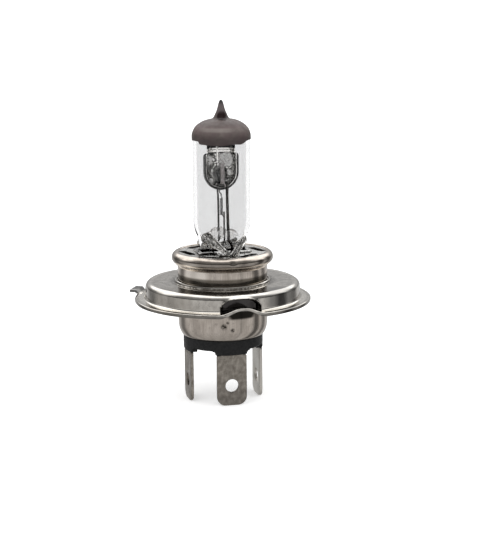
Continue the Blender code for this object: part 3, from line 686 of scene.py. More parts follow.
def molybdenum():
    """Dark drawn wire with lengthwise marks."""
    finish = Finish("molybdenum", {"Metallic": 1.0})
    pattern = finish.grain(0.3, (1.0, 1.0, 5.0))
    tones = finish.tones(pattern, (0.3, (0.012, 0.011, 0.01)), (0.7, (0.08, 0.076, 0.07)))
    # Painted highlight: above 33.4 mm the wire is made near white.
    tones = finish.tinted(tones, finish.height(33.4, 34.0), (0.95, 0.93, 0.9))
    rough = finish.spread(finish.grain(0.2, (1.0, 1.0, 4.0)), 0.12, 0.3)
    return finish.complete(tones, rough, (finish.grain(0.08, (1.0, 1.0, 8.0)), 0.008))


def foil_metal():
    """Thin rolled foil, pale grey, with rolling lines."""
    finish = Finish("foil_metal", {"Metallic": 1.0})
    pattern = finish.grain(0.4, (1.0, 1.0, 6.0))
    tones = finish.tones(pattern, (0.3, (0.36, 0.35, 0.34)), (0.7, (0.55, 0.54, 0.52)))
    rough = finish.spread(finish.grain(0.3), 0.25, 0.4)
    return finish.complete(tones, rough, (finish.grain(0.15, (1.0, 1.0, 10.0)), 0.005))


def lead_nickel():
    """Nickel wire, satin, slightly tarnished."""
    finish = Finish("lead_nickel", {"Metallic": 1.0})
    tones = finish.tones(finish.grain(0.5), (0.3, (0.38, 0.36, 0.32)), (0.7, (0.6, 0.57, 0.52)))
    rough = finish.spread(finish.grain(0.3), 0.28, 0.45)
    return finish.complete(tones, rough, (finish.grain(0.2), 0.006))


def plated(name, dark, middle, light, size, rough, marks, stain_and_rim_highlight, extra=None):
    """Nickel-plated sheet: mottled tones, uneven polish, tool marks and a few small stains."""
    finish = Finish(name, {"Metallic": 1.0})
    mottle = finish.grain(size, (1.0, 1.0, 1.4), 4.0)
    tones = finish.tones(mottle, (0.3, dark), (0.5, middle), (0.7, light))
    stain = finish.spread(finish.grain(size * 0.6, detail=5.0, shift=7.0), 0.0, stain_and_rim_highlight, 0.6, 0.74)
    tones = finish.tinted(tones, stain, (0.13, 0.11, 0.09))
    if extra is not None:
        tones = extra(finish, tones)
    rough = finish.spread(finish.grain(size * 0.6, detail=4.0, shift=3.0), *rough)
    return finish.complete(
        tones, rough, (finish.grain(size * 1.5, detail=1.0, shift=1.0), 0.018), *marks(finish)
    )


def clip_steel():
    """Bright spring steel, folded and slightly crumpled, dark where the foot's left side stays in shade."""
    def shade(finish, tones):
        streaks = finish.grain(0.3, detail=4.0, shift=11.0)
        tones = finish.tinted(tones, finish.spread(streaks, 0.0, 0.85, 0.5, 0.56), (0.04, 0.038, 0.035))
        foot = finish.below(11.75, 12.1)
        corner = finish.times(finish.near((-4.2, -1.6, 11.6), 3.4, 0.6), foot)
        return finish.tinted(tones, corner, (0.03, 0.028, 0.026))

    return plated(
        "clip_steel", (0.75, 0.735, 0.71), (0.9, 0.885, 0.86), (0.99, 0.98, 0.96), 0.7, (0.03, 0.1),
        lambda finish: [(finish.grain(0.5, detail=2.0), 0.04), (finish.grain(0.12, (3.0, 1.0, 1.0)), 0.004)],
        0.4, shade,
    )


def plate_steel():
    """Punched disc, satin, with press marks, painted shade on its left and painted light on its right."""
    def sides(finish, tones):
        # Painted shade on the disc's left side.
        painted_shade_left = finish.times(finish.near((-8.4, -4.0, 11.2), 5.0, 0.5), 0.6)
        tones = finish.tinted(tones, painted_shade_left, (0.34, 0.335, 0.32))
        # Painted light on the disc's right side.
        painted_light = finish.times(finish.near((7.0, -5.0, 11.2), 5.0, 0.5), 0.8)
        return finish.tinted(tones, painted_light, (1.0, 0.99, 0.97))

    return plated(
        "plate_steel", (0.55, 0.54, 0.515), (0.74, 0.73, 0.705), (0.92, 0.91, 0.885), 1.1, (0.12, 0.26),
        lambda finish: [(finish.grain(0.8, detail=2.0), 0.05), (finish.rings(0.5), 0.01)], 0.5, sides,
    )


SLEEVE_STAINS = (((-2.3, -10.7, -5.3), 1.0), ((-0.2, -10.9, -6.2), 0.7), ((-1.4, -10.85, -4.3), 0.5))


def sleeve_steel():
    """Drawn sleeve with fine vertical lines, and a dark stain or two near its mouth."""
    def lines(finish, tones):
        streaks = finish.grain(0.1, (1.0, 1.0, 40.0), 3.0)
        tones = finish.tinted(tones, finish.spread(streaks, 0.0, 0.5), (0.27, 0.235, 0.2))
        # Painted shadow: the sleeve is darkened under the brim's arch.
        shaded = finish.times(finish.near((2.3, -10.7, -0.9), 4.8, 0.7), finish.height(-3.9, -3.3))
        tones = finish.tinted(tones, shaded, (0.02, 0.018, 0.015))
        # Painted shade: the bead's lower face is darkened.
        roll = finish.times(finish.height(8.15, 8.5), finish.below(10.2, 10.7))
        tones = finish.tinted(tones, roll, (0.2, 0.18, 0.16), 0.6)
        # Painted light on the sleeve's front-left.
        painted_light = finish.times(finish.near((-8.5, -7.0, 6.8), 4.2, 0.6), 0.7)
        tones = finish.tinted(tones, painted_light, (0.98, 0.91, 0.83))
        # Painted shade: a dark band on the sleeve just above the ring's collar.
        foot = finish.times(finish.height(3.5, 4.5), finish.below(5.9, 6.5))
        tones = finish.tinted(tones, foot, (0.1, 0.085, 0.065), 0.85)
        for spot, size in SLEEVE_STAINS:
            stain = finish.spread(finish.grain(0.35, detail=4.0), 0.0, 1.0, 0.3, 0.55)
            stain = finish.times(finish.near(spot, size), stain)
            tones = finish.tinted(tones, stain, (0.02, 0.017, 0.012))
        return tones

    return plated(
        "sleeve_steel", (0.52, 0.46, 0.405), (0.65, 0.58, 0.515), (0.75, 0.675, 0.605), 2.2, (0.07, 0.15),
        lambda finish: [(finish.grain(0.1, (1.0, 1.0, 40.0), 2.0), 0.004)], 0.4, lines,
    )


def ring_steel():
    """Pressed ring with faint turned marks, painted light and shade, darkest in the pocket above the arch."""
    def painted_light_and_shade(finish, tones):
        # Painted shade on the step's wall, on its right and, more faintly, on its left.
        tones = finish.tinted(tones, finish.near((10.6, -15.6, 1.9), 6.2, 0.5), (0.23, 0.22, 0.205))
        shade = finish.times(finish.near((-15.4, -10.8, 1.6), 8.5, 0.5), 0.5)
        tones = finish.tinted(tones, shade, (0.32, 0.29, 0.25))
        # Painted shade: the pocket in the wall above the arch is made near black.
        below = finish.below(2.9, 3.4)
        pocket = finish.times(finish.within(17.8, 18.4), below)
        tones = finish.tinted(tones, pocket, (0.026, 0.023, 0.025), 0.93)
        # Painted shade on the lugs.
        lug = finish.times(finish.beyond(19.9, 20.4), finish.height(0.06, 0.2))
        arch = finish.near((0.0, -21.5, 0.8), 6.5, 0.9)
        lug = finish.times(lug, finish.opposite(arch))
        tones = finish.tinted(tones, lug, (0.1, 0.1, 0.098), 0.85)
        # Painted shade on the brim's lower outer edge.
        edge = finish.beyond(21.36, 21.46)
        edge = finish.times(edge, finish.below(-0.36, -0.2))
        tones = finish.tinted(tones, edge, (0.13, 0.12, 0.105), 0.75)
        # Painted highlight along the step's rounded rim.
        stain_and_rim_highlight = finish.times(finish.height(2.9, 3.4), finish.beyond(17.0, 17.6))
        tones = finish.tinted(tones, stain_and_rim_highlight, (0.95, 0.92, 0.87), 0.3)
        # Painted highlight on the brim just outside the step's foot.
        foot = finish.maths("SUBTRACT", finish.within(20.2, 20.8), finish.within(18.8, 18.9))
        foot = finish.times(foot, finish.below(0.4, 0.6))
        tones = finish.tinted(tones, foot, (0.95, 0.91, 0.84), 0.6)
        # Painted highlight on the collar's lip at the front.
        bright = finish.times(finish.height(4.22, 4.3), finish.near((2.6, -11.2, 4.4), 9.0, 0.7))
        tones = finish.tinted(tones, bright, (1.0, 0.95, 0.88))
        # Painted shade on the ring's top round the sleeve's foot, broken by bright specks.
        lip = finish.below(4.24, 4.34)
        root = finish.times(finish.within(12.0, 13.6), lip)
        specks = finish.opposite(finish.spread(finish.grain(0.5, detail=3.0, shift=4.0), 0.0, 0.9, 0.52, 0.6))
        root = finish.times(root, specks)
        return finish.tinted(tones, root, (0.09, 0.078, 0.06), 0.8)

    return plated(
        "ring_steel", (0.44, 0.415, 0.38), (0.56, 0.53, 0.49), (0.68, 0.65, 0.6), 1.5, (0.07, 0.16),
        lambda finish: [(finish.rings(0.2), 0.002), (finish.grain(0.6, detail=3.0), 0.008)], 0.5, painted_light_and_shade,
    )


def blade_metal():
    """Tinned blades, matt, blotched and scuffed lengthwise, one lighter, the front one darker low down."""
    def tone_by_place(finish, tones):
        # The main-beam blade is made lighter.
        lighter_blade = finish.times(finish.near((8.6, 0.0, -18.0), 9.0, 0.8), 0.85)
        tones = finish.tinted(tones, lighter_blade, (0.72, 0.69, 0.64))
        # The front blade is darker towards its bottom.
        darker_low = finish.below(-25.0, -17.0)
        darker_low = finish.times(darker_low, finish.near((0.0, -8.7, -20.0), 8.0, 0.7))
        return finish.tinted(tones, darker_low, (0.12, 0.11, 0.1), 0.45)

    return plated(
        "blade_metal", (0.21, 0.185, 0.16), (0.31, 0.28, 0.245), (0.46, 0.42, 0.37), 0.9, (0.26, 0.42),
        lambda finish: [(finish.grain(0.16, (1.0, 1.0, 5.0)), 0.012), (finish.grain(0.5, detail=4.0), 0.02)],
        0.6, tone_by_place,
    )


def black_moulding():
    """Black moulded plastic with a fine grain and dusty high spots."""
    finish = Finish("black_moulding", {"Specular IOR Level": 0.3})
    pattern = finish.grain(0.7, detail=5.0)
    tones = finish.tones(pattern, (0.35, (0.008, 0.008, 0.009)), (0.75, (0.026, 0.026, 0.026)))
    rough = finish.spread(finish.grain(0.4), 0.36, 0.56)
    return finish.complete(
        tones, rough, (finish.grain(0.12, detail=2.0), 0.012), (finish.grain(0.9), 0.03)
    )


# ---------------------------------------------------------------- glass, paint and what is inside


def dome_profile(radius, height, tip_height, spike_radius, steps):
    """Outer side of the domed end, from the tip down to the dome's base, as (radius, height) points."""
    power = 2.4
    spike_foot = DOME_BASE + height * (1.0 - (spike_radius / radius) ** power) ** (1.0 / power)
    tall = tip_height - spike_foot
    knots = [(0.12, tip_height - 0.03), (0.36, tip_height - 0.25), (0.66, tip_height - 0.24 * tall)]
    knots += [(0.98, tip_height - 0.5 * tall), (1.45, tip_height - 0.76 * tall)]
    knots += [(0.9 * spike_radius, tip_height - 0.93 * tall), (spike_radius + 0.15, spike_foot)]
    profile = [tuple(point) for point in smooth_path(knots, 4)]
    start = math.acos(((spike_radius + 0.15) / radius) ** (power / 2.0))
    for step in range(1, steps + 1):
        angle = start * (1.0 - step / steps)
        around = radius * math.cos(angle) ** (2.0 / power)
        up = DOME_BASE + height * math.sin(angle) ** (2.0 / power)
        profile.append((around, up))
    return profile


def make_glass(finish):
    """Hollow tube with a domed end and a flat pinch; the chamber's faces look inwards."""
    below = [
        (GLASS_LOW.z, PINCH_HALF_X, PINCH_HALF_Y, 5.0), (4.0, PINCH_HALF_X, PINCH_HALF_Y, 5.0),
        (11.0, PINCH_HALF_X, PINCH_HALF_Y, 5.0), (13.0, 5.6, 2.3, 3.6), (14.8, 6.0, 3.1, 2.6),
        (16.4, 6.6, 5.0, 2.1), (18.4, GLASS_RADIUS, 6.5, 2.0), (20.4, GLASS_RADIUS, GLASS_RADIUS, 2.0),
    ]
    sections = [tuple(point) for point in smooth_path(below, 6)]
    sections += [(height, GLASS_RADIUS, GLASS_RADIUS, 2.0) for height in (24.0, 28.0, 32.0, 36.0)]
    spike = PAINT_HIGH.z - 0.5
    end = dome_profile(GLASS_RADIUS, DOME_HEIGHT - 0.2, spike, 1.65, 24)
    sections += [(height, radius, radius, 2.0) for radius, height in reversed(end)]
    outer = loft(sections)
    inner = GLASS_RADIUS - GLASS_WALL
    hollow = [
        (CHAMBER_FLOOR, 3.8, 0.9, 3.0), (14.8, 4.9, 1.9, 2.4), (16.4, 5.6, 3.8, 2.0),
        (18.4, inner, inner - 0.5, 2.0), (20.4, inner, inner, 2.0),
    ]
    sections = [tuple(point) for point in smooth_path(hollow, 6)]
    sections += [(height, inner, inner, 2.0) for height in (26.0, 32.0, DOME_BASE)]
    for step in range(1, 15):
        angle = math.radians(84.0) * step / 14
        shrunk = inner * math.cos(angle)
        sections.append((DOME_BASE + (DOME_HEIGHT - GLASS_WALL) * math.sin(angle), shrunk, shrunk, 2.0))
    chamber = loft(sections)
    bmesh.ops.reverse_faces(chamber, faces=chamber.faces)
    inside = bpy.data.meshes.new("chamber")
    chamber.to_mesh(inside)
    chamber.free()
    outer.from_mesh(inside)
    bmesh.ops.scale(outer, vec=(MM, MM, MM), verts=outer.verts)
    mesh = bpy.data.meshes.new("glass")
    outer.to_mesh(mesh)
    outer.free()
    show("quartz_tube", mesh, finish, "clear_quartz", "glass_envelope", sharp=60.0)


def paint_edge(angle):
    """How far the paint's lower edge hangs below its mean height, in millimetres, at an angle about Z."""
    from_view = math.remainder(angle - (-QUARTER_TURN - VIEW_TURN), FULL_TURN)
    hang = 0.65 * eased((from_view + 0.88) / 0.07) * eased((1.05 - from_view) / 0.4)
    wander = noise.noise(Vector((2.1 * math.cos(angle), 2.1 * math.sin(angle), 0.3))) * 0.22
    return hang + wander - 0.12


def make_paint(finish):
    """Dip-paint cap over the dome and the spike, with an uneven lower edge."""
    face = dome_profile(PAINT_RADIUS, DOME_HEIGHT, PAINT_HIGH.z, 2.05, 26)
    face += line(face[-1], (PAINT_RADIUS, PAINT_LOW.z), 3)
    outline = sheet(face, PAINT_THICKNESS)
    mesh = lathe(outline, 160)
    for vertex in mesh.vertices:
        x, y, z = vertex.co / MM
        share = eased((DOME_BASE + 0.6 - z) / 1.0)
        vertex.co.z -= paint_edge(math.atan2(y, x)) * share * MM
    ripple(mesh, 1.6, 0.05)
    show("antiglare_cap", mesh, finish, "antiglare_paint", "antiglare_coating", sharp=50.0)


def coil_route(x, y, low, high, radius, turns, per_turn=20):
    """Points of an upright helix."""
    route = []
    for step in range(turns * per_turn + 1):
        angle = FULL_TURN * step / per_turn
        height = low + (high - low) * step / (turns * per_turn)
        route.append((x + radius * math.cos(angle), y + radius * math.sin(angle), height))
    return route


def make_filaments(finish):
    """Fine tungsten coils: the dipped one in front of the shield, the main one below it."""
    coil = coil_route(0.0, -0.9, 27.9, 33.1, 0.44, 17)
    foot = smooth_path([(1.0, -0.3, 27.0), (0.8, -0.7, 27.2), (0.44, -0.9, 27.9)], 6)[:-1]
    head = smooth_path([coil[-1], (0.1, -0.92, 33.5), (-0.7, -0.9, 33.8), (-1.15, -0.9, 33.9)], 6)[1:]
    mesh = wire(foot + coil + head, 0.1, 0, 3)
    show("dipped_coil", mesh, finish, "tungsten", "dipped_beam_filament")
    coil = coil_route(-0.15, 0.0, 20.1, 24.3, 0.31, 16)
    foot = smooth_path([(0.5, 0.1, 19.7), (0.35, 0.02, 19.75), coil[0]], 6)[:-1]
    head = smooth_path([coil[-1], (-0.05, 0.0, 24.5), (-0.15, 0.0, 24.9)], 6)[1:]
    mesh = wire(foot + coil + head, 0.085, 0, 3)
    show("main_coil", mesh, finish, "tungsten", "main_beam_filament")


def make_shield(finish, rim_finish):
    """Spoon-shaped shield with a rolled rim round its open side and a lid on its neck."""
    bowl = SHIELD_RADIUS
    low = SHIELD_LOW.z
    plane = SHIELD_LOW.y
    lid = SHIELD_NECK_RADIUS - SHIELD_LID_EDGE
    face = [(0.02, SHIELD_HIGH.z)] + line((0.02, SHIELD_HIGH.z), (lid, SHIELD_HIGH.z), 3)
    face += arc(lid, SHIELD_HIGH.z - SHIELD_LID_EDGE, SHIELD_LID_EDGE, 75.0, 0.0, 5)
    face += [(SHIELD_NECK_RADIUS, SHIELD_RIM + 0.55)]
    face += arc(bowl - 0.4, SHIELD_RIM - 0.1, 0.4, 80.0, 0.0, 6)
    face += line(face[-1], (bowl, low + bowl), 5)[:-1]
    face += arc(0.0, low + bowl, bowl, 0.0, -87.0, 24)
    mesh = lathe(sheet(face, SHIELD_SHEET), 72, HALF_TURN)
    shallow = Matrix.Diagonal((1.0, SHIELD_DEPTH_RATIO, 1.0, 1.0))
    mesh.transform(Matrix.Translation((0.0, plane * MM, 0.0)) @ shallow)
    ripple(mesh, 1.3, 0.05, 4.0)
    rim = [(-bowl + 0.75, plane, SHIELD_RIM + 0.15), (-bowl + 0.3, plane, SHIELD_RIM - 0.1)]
    rim.append((-bowl + 0.2, plane, SHIELD_RIM - 0.6))
    for step in range(33):
        angle = HALF_TURN + HALF_TURN * step / 32
        reach = bowl - 0.2
        rim.append((reach * math.cos(angle), plane, low + bowl + reach * math.sin(angle)))
    rim += [(bowl - 0.2, plane, SHIELD_RIM - 0.6), (bowl - 0.3, plane, SHIELD_RIM - 0.1)]
    rim.append((bowl - 0.75, plane, SHIELD_RIM + 0.15))
    roll = wire(rim, 0.42, 3, 4)
    show("shield_bowl", mesh, finish, "shield_metal", "beam_shield")
    show("shield_rim", roll, rim_finish, "shield_metal")


WIRES = {
    "dipped_beam_lead_wire": (0.24, [
        (-2.4, 0.1, 9.5), (-2.4, 0.1, 12.3), (-0.8, 0.42, 14.1), (-0.75, 0.47, 15.6), (-0.75, 0.5, 18.0),
        (-0.75, 0.7, 24.4), (-0.35, 2.9, 25.4), (-0.1, 4.3, 27.8), (-0.5, 4.4, 36.0), (-0.9, 2.9, 38.2),
        (-1.2, 0.2, 38.1), (-1.2, -0.9, 36.6), (-1.2, -0.9, 33.6),
    ]),
    "main_beam_lead_wire": (0.2, [
        (0.0, 0.1, 9.5), (0.0, 0.1, 12.3), (0.5, 0.1, 14.1), (0.55, 0.1, 15.6), (0.55, 0.1, 20.9),
    ]),
    "shield_support_rod": (0.36, [
        (2.4, 0.1, 9.5), (2.4, 0.1, 12.3), (1.6, 0.0, 14.1), (1.55, 0.0, 15.6), (1.3, -0.2, 24.0),
        (1.3, -0.3, 27.4),
    ]),
    "main_beam_arm": (0.14, [(-0.4, 0.7, 26.2), (-0.4, 0.6, 25.7), (-0.15, 0.1, 25.2), (-0.15, 0.0, 24.8)]),
}


def make_wires(finish):
    """The wires that rise from the pinch, and the arm to the main filament."""
    for name, (radius, route) in WIRES.items():
        show(name.replace("_beam", ""), wire(route, radius, 10, 5), finish, "molybdenum", name)


def make_bridge(finish):
    """Flame-worked quartz bar that holds the wires, ribbed where it was squeezed."""
    low, high = box_mm("quartz_bridge")
    shape = bmesh.new()
    rings = []
    along_steps, around_steps = 120, 40
    for step in range(along_steps + 1):
        share = step / along_steps
        x = low.x + (high.x - low.x) * share
        middle = (low.z + high.z) / 2.0 + 0.55 - 1.1 * share
        end = math.sqrt(max(0.0, 1.0 - abs(2.0 * share - 1.0) ** 3.0))
        waist = 1.0 - 0.3 * math.exp(-((x - 0.8) / 0.7) ** 2)
        ribs = 1.0 + 0.15 * math.sin(x * FULL_TURN / 0.8) * eased((0.8 - x) / 0.6)
        tall = max(0.03, 1.3 * end * waist * ribs)
        deep = max(0.02, 0.9 * end * ribs)
        ring = []
        for index in range(around_steps):
            angle = FULL_TURN * index / around_steps
            lean = 0.45 * math.sin(angle)
            spot = (x + lean, 0.1 + deep * math.cos(angle), middle + tall * math.sin(angle))
            ring.append(shape.verts.new(spot))
        rings.append(ring)
    for here, there in zip(rings, rings[1:]):
        for index in range(around_steps):
            following = (index + 1) % around_steps
            shape.faces.new((here[index], here[following], there[following], there[index]))
    shape.faces.new(rings[0])
    shape.faces.new(rings[-1])
    show("quartz_bar", finished(shape), finish, "bridge_quartz", "quartz_bridge", sharp=60.0)


def make_inner_metal(foil, lead):
    """Foils and leads that the cap hides."""
    for circuit in ("dipped_beam", "main_beam", "common"):
        low, high = box_mm(circuit + "_foil")
        show(circuit + "_seal", block(low, high, 0.03), foil, "molybdenum", circuit + "_foil")
        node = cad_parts[circuit + "_outer_lead"]
        node.data.materials.clear()
        node.data.materials.append(lead)


# ---------------------------------------------------------------- clip, plate, sleeve and ring


def leaf_mesh(length, root_width, top_width, thickness, ridges, depth):
    """Spring leaf along its own X axis, narrow at its root and broad at its top, with lengthwise ridges."""
    shape = bmesh.new()
    along_steps, across_steps = 64, 36
    grid = []
    for step in range(along_steps + 1):
        share = step / along_steps
        half = (root_width + (top_width - root_width) * eased(share * 1.15)) / 2.0
        from_top = (1.0 - share) * length / (top_width / 2.0)
        from_root = share * length / (root_width / 2.0)
        round_top = math.sqrt(max(0.002, 1.0 - max(0.0, 1.0 - from_top) ** 2))
        round_root = math.sqrt(max(0.002, 1.0 - max(0.0, 1.0 - from_root) ** 2))
        half *= min(round_top, round_root)
        row = []
        for index in range(across_steps + 1):
            v = -1.0 + 2.0 * index / across_steps
            fade = eased((1.0 - share) * length / 0.9) * eased(share * length / 0.9)
            fold = depth * math.cos(v * math.pi * ridges) * fade
            curl = 0.35 * abs(v) ** 4.0
            bow = 0.5 * (share - 0.5) ** 2
            row.append(shape.verts.new((share * length, v * half, fold + curl + bow)))
        grid.append(row)
    for here, there in zip(grid, grid[1:]):
        for index in range(across_steps):
            shape.faces.new((here[index], there[index], there[index + 1], here[index + 1]))
    bmesh.ops.recalc_face_normals(shape, faces=shape.faces)
    bmesh.ops.solidify(shape, geom=shape.faces, thickness=thickness)
    return finished(shape)


def placed_leaf(start, end, outwards, layer, leaf):
    """A leaf moved to run from one point towards another, its layer's distance out from the first."""
    start, end = Vector(start), Vector(end)
    along = (end - start).normalized()
    normal = (outwards - along * outwards.dot(along)).normalized()
    across = normal.cross(along)
    place = Matrix((along, across, normal)).transposed().to_4x4()
    place.translation = (start + normal * layer) * MM
    leaf.transform(place)
    return leaf


def make_clip(finish):
    """Clip round the pinch: its collar and foot, and double leaves that spring up from the foot."""
    low, high = box_mm("pinch_clip")
    foot_low = PLATE_HIGH.z + GAP
    foot_high = foot_low + 0.3
    outer_x = PINCH_HALF_X + GAP + 0.3
    outer_y = PINCH_HALF_Y + GAP + 0.3
    body = block((-outer_x, -outer_y, low.z), (outer_x, outer_y, foot_high), 0.1)
    wide = block((-6.6, -3.6, foot_low), (6.6, 3.6, foot_high), 0.1)
    tongue = block((-2.4, -7.0, foot_low), (2.4, 7.0, foot_high), 0.1)
    body = combined(body, [wide, tongue], "UNION")
    bore_x = PINCH_HALF_X + GAP
    bore_y = PINCH_HALF_Y + GAP
    bore = block((-bore_x, -bore_y, low.z - 1.0), (bore_x, bore_y, high.z + 1.0))
    body = combined(body, [bore], "DIFFERENCE")
    show("clip_body", body, finish, "clip_steel", "pinch_clip")
    root = Vector((0.2, -7.2, foot_high - 0.05))
    fronts = (
        ("left", Vector((-5.8, -3.7, foot_high + 4.4)), Vector((-0.5, -1.0, 0.6)), 2.9, -0.5),
        ("right", Vector((4.6, -4.3, foot_high + 3.7)), Vector((1.0, -0.2, 0.5)), 1.9, 0.6),
    )
    for name, top, outwards, width, aside in fronts:
        leaves = []
        for layer, share in enumerate((1.0, 0.88, 0.74)):
            start = root + Vector((aside * (0.3 + 0.35 * layer), -0.06 * layer, 0.0))
            end = root + (top - root) * share + Vector((aside * -0.5 * layer, 0.0, -0.1 * layer))
            leaf = leaf_mesh((end - start).length, 0.9, width * (1.0 - 0.2 * layer), 0.16, 2.0, 0.2)
            leaves.append(placed_leaf(start, end, outwards, 0.34 * layer, leaf))
        show("clip_leaf_front_" + name, joined(*leaves), finish, "clip_steel", sharp=50.0)
    for name, side in (("left", -1.0), ("right", 1.0)):
        outwards = Vector((side * 0.5, 1.0, 0.6))
        start = (side * 1.0, 6.2, foot_high)
        end = (side * 4.4, 4.4, foot_high + 1.3)
        leaf = leaf_mesh(4.8, 1.2, 2.0, 0.2, 2.0, 0.12)
        leaf = placed_leaf(start, end, outwards, 0.0, leaf)
        show("clip_leaf_back_" + name, leaf, finish, "clip_steel", sharp=50.0)


def stadium(length, width, steps=10):
    """Outline of a strip with round ends, along its own X axis."""
    reach = (length - width) / 2.0
    outline = []
    for side, start in ((reach, -90.0), (-reach, 90.0)):
        outline += [(side + x, y) for x, y in arc(0.0, 0.0, width / 2.0, start, start + 180.0, steps)]
    return outline


def make_top_plate(finish):
    """Disc inside the bead, with a window for the pinch and punched slots."""
    radius = PLATE_HIGH.x
    low, high = PLATE_LOW.z, PLATE_HIGH.z
    outline = [(0.0, high), (radius, high), (radius, low), (0.0, low)]
    disc = lathe(outline, 128)
    half_x = PINCH_HALF_X + 3.0 * GAP + 0.3
    half_y = PINCH_HALF_Y + 3.0 * GAP + 0.3
    cutters = [block((-half_x, -half_y, low - 1.0), (half_x, half_y, high + 1.0))]
    for angle_deg, tilt_deg in SLOT_PLACES:
        turn = Matrix.Rotation(math.radians(angle_deg), 4, "Z")
        across = Matrix.Rotation(QUARTER_TURN + math.radians(tilt_deg), 4, "Z")
        place = turn @ Matrix.Translation((SLOT_RADIUS, 0.0, high)) @ across
        cutters.append(plate([stadium(SLOT_LENGTH, SLOT_WIDTH)], 3.0, 0.1, place))
    disc = combined(disc, cutters, "DIFFERENCE")
    show("top_plate", disc, finish, "plate_steel", "cap_top_plate")


def make_sleeve(finish):
    """Drawn sleeve with a rolled bead at the top and a mouth curled in under the disc."""
    face = arc(BEAD_RADIUS, BEAD_HEIGHT, BEAD_ROLL, 100.0, -52.0, 34)
    shoulder = [face[-1], (SLEEVE_RADIUS + 0.42, BEAD_FOOT + 0.42), (SLEEVE_RADIUS + 0.08, BEAD_FOOT + 0.1)]
    shoulder += [(SLEEVE_RADIUS, BEAD_FOOT - 0.25)]
    face += [tuple(point) for point in smooth_path(shoulder, 5)][1:]
    face += line(face[-1], (SLEEVE_RADIUS, 5.0), 3)
    face += line(face[-1], (SLEEVE_RADIUS - 0.05, -5.5), 6)
    face += [(SLEEVE_RADIUS - 0.1, -6.6), (SLEEVE_RADIUS - 0.2, -7.3), (SLEEVE_RADIUS - 0.42, -8.0)]
    face += [(SLEEVE_RADIUS - 0.68, -8.6), (SLEEVE_MOUTH, SLEEVE_LOW.z)]
    mesh = lathe(sheet(face, SLEEVE_SHEET))
    seam = -QUARTER_TURN - VIEW_TURN + math.radians(12.0)
    dent = Vector((BEAD_RADIUS + BEAD_ROLL * 0.9, 0.0, BEAD_HEIGHT + BEAD_ROLL * 0.3))
    dent.rotate(Matrix.Rotation(seam, 3, "Z"))
    for vertex in mesh.vertices:
        spot = vertex.co / MM
        pull = math.exp(-((spot - dent).length / 0.45) ** 2)
        inwards = Vector((-spot.x, -spot.y, 0.0)).normalized()
        vertex.co += inwards * 0.3 * pull * MM
    ripple(mesh, 6.0, 0.04, 2.0)
    show("sleeve_shell", mesh, finish, "sleeve_steel", "cap_sleeve")


def press_arch(mesh):
    """Raise the brim in an arch on the -Y side, and press the step's wall in above it."""
    for vertex in mesh.vertices:
        x, y, z = vertex.co / MM
        radius = math.hypot(x, y)
        along_brim = math.atan2(x, -y) * BRIM_RADIUS
        if abs(along_brim) >= ARCH_HALF_WIDTH:
            continue
        strength = eased((ARCH_HALF_WIDTH - abs(along_brim)) / ARCH_SLOPE)
        inside_pocket = eased((POCKET_HALF_WIDTH - abs(along_brim)) / POCKET_EDGE)
        outward = eased((radius - ARCH_START_RADIUS) / ARCH_RUN)
        on_wall = eased((radius - POCKET_INNER) / POCKET_INNER_RUN)
        on_wall *= eased((POCKET_OUTER - radius) / POCKET_OUTER_RUN)
        across = min(1.0, abs(along_brim) / POCKET_HALF_WIDTH)
        pocket_top = POCKET_FOOT + POCKET_CROWN * math.sqrt(1.0 - across ** POCKET_POWER)
        below_rim = eased((pocket_top - z) / POCKET_TOP_EDGE)
        above = (z - pocket_top - POCKET_LIP_ABOVE) / POCKET_LIP_WIDTH
        lip = math.exp(-above ** 2) * inside_pocket * on_wall
        pressed = radius - POCKET_DEPTH * inside_pocket * on_wall * below_rim + POCKET_LIP * lip
        lift = ARCH_RISE * strength * outward
        if z < UNDERSIDE:
            lift += ARCH_THIN * strength * outward
        vertex.co = Vector((x * pressed / radius, y * pressed / radius, z + lift)) * MM


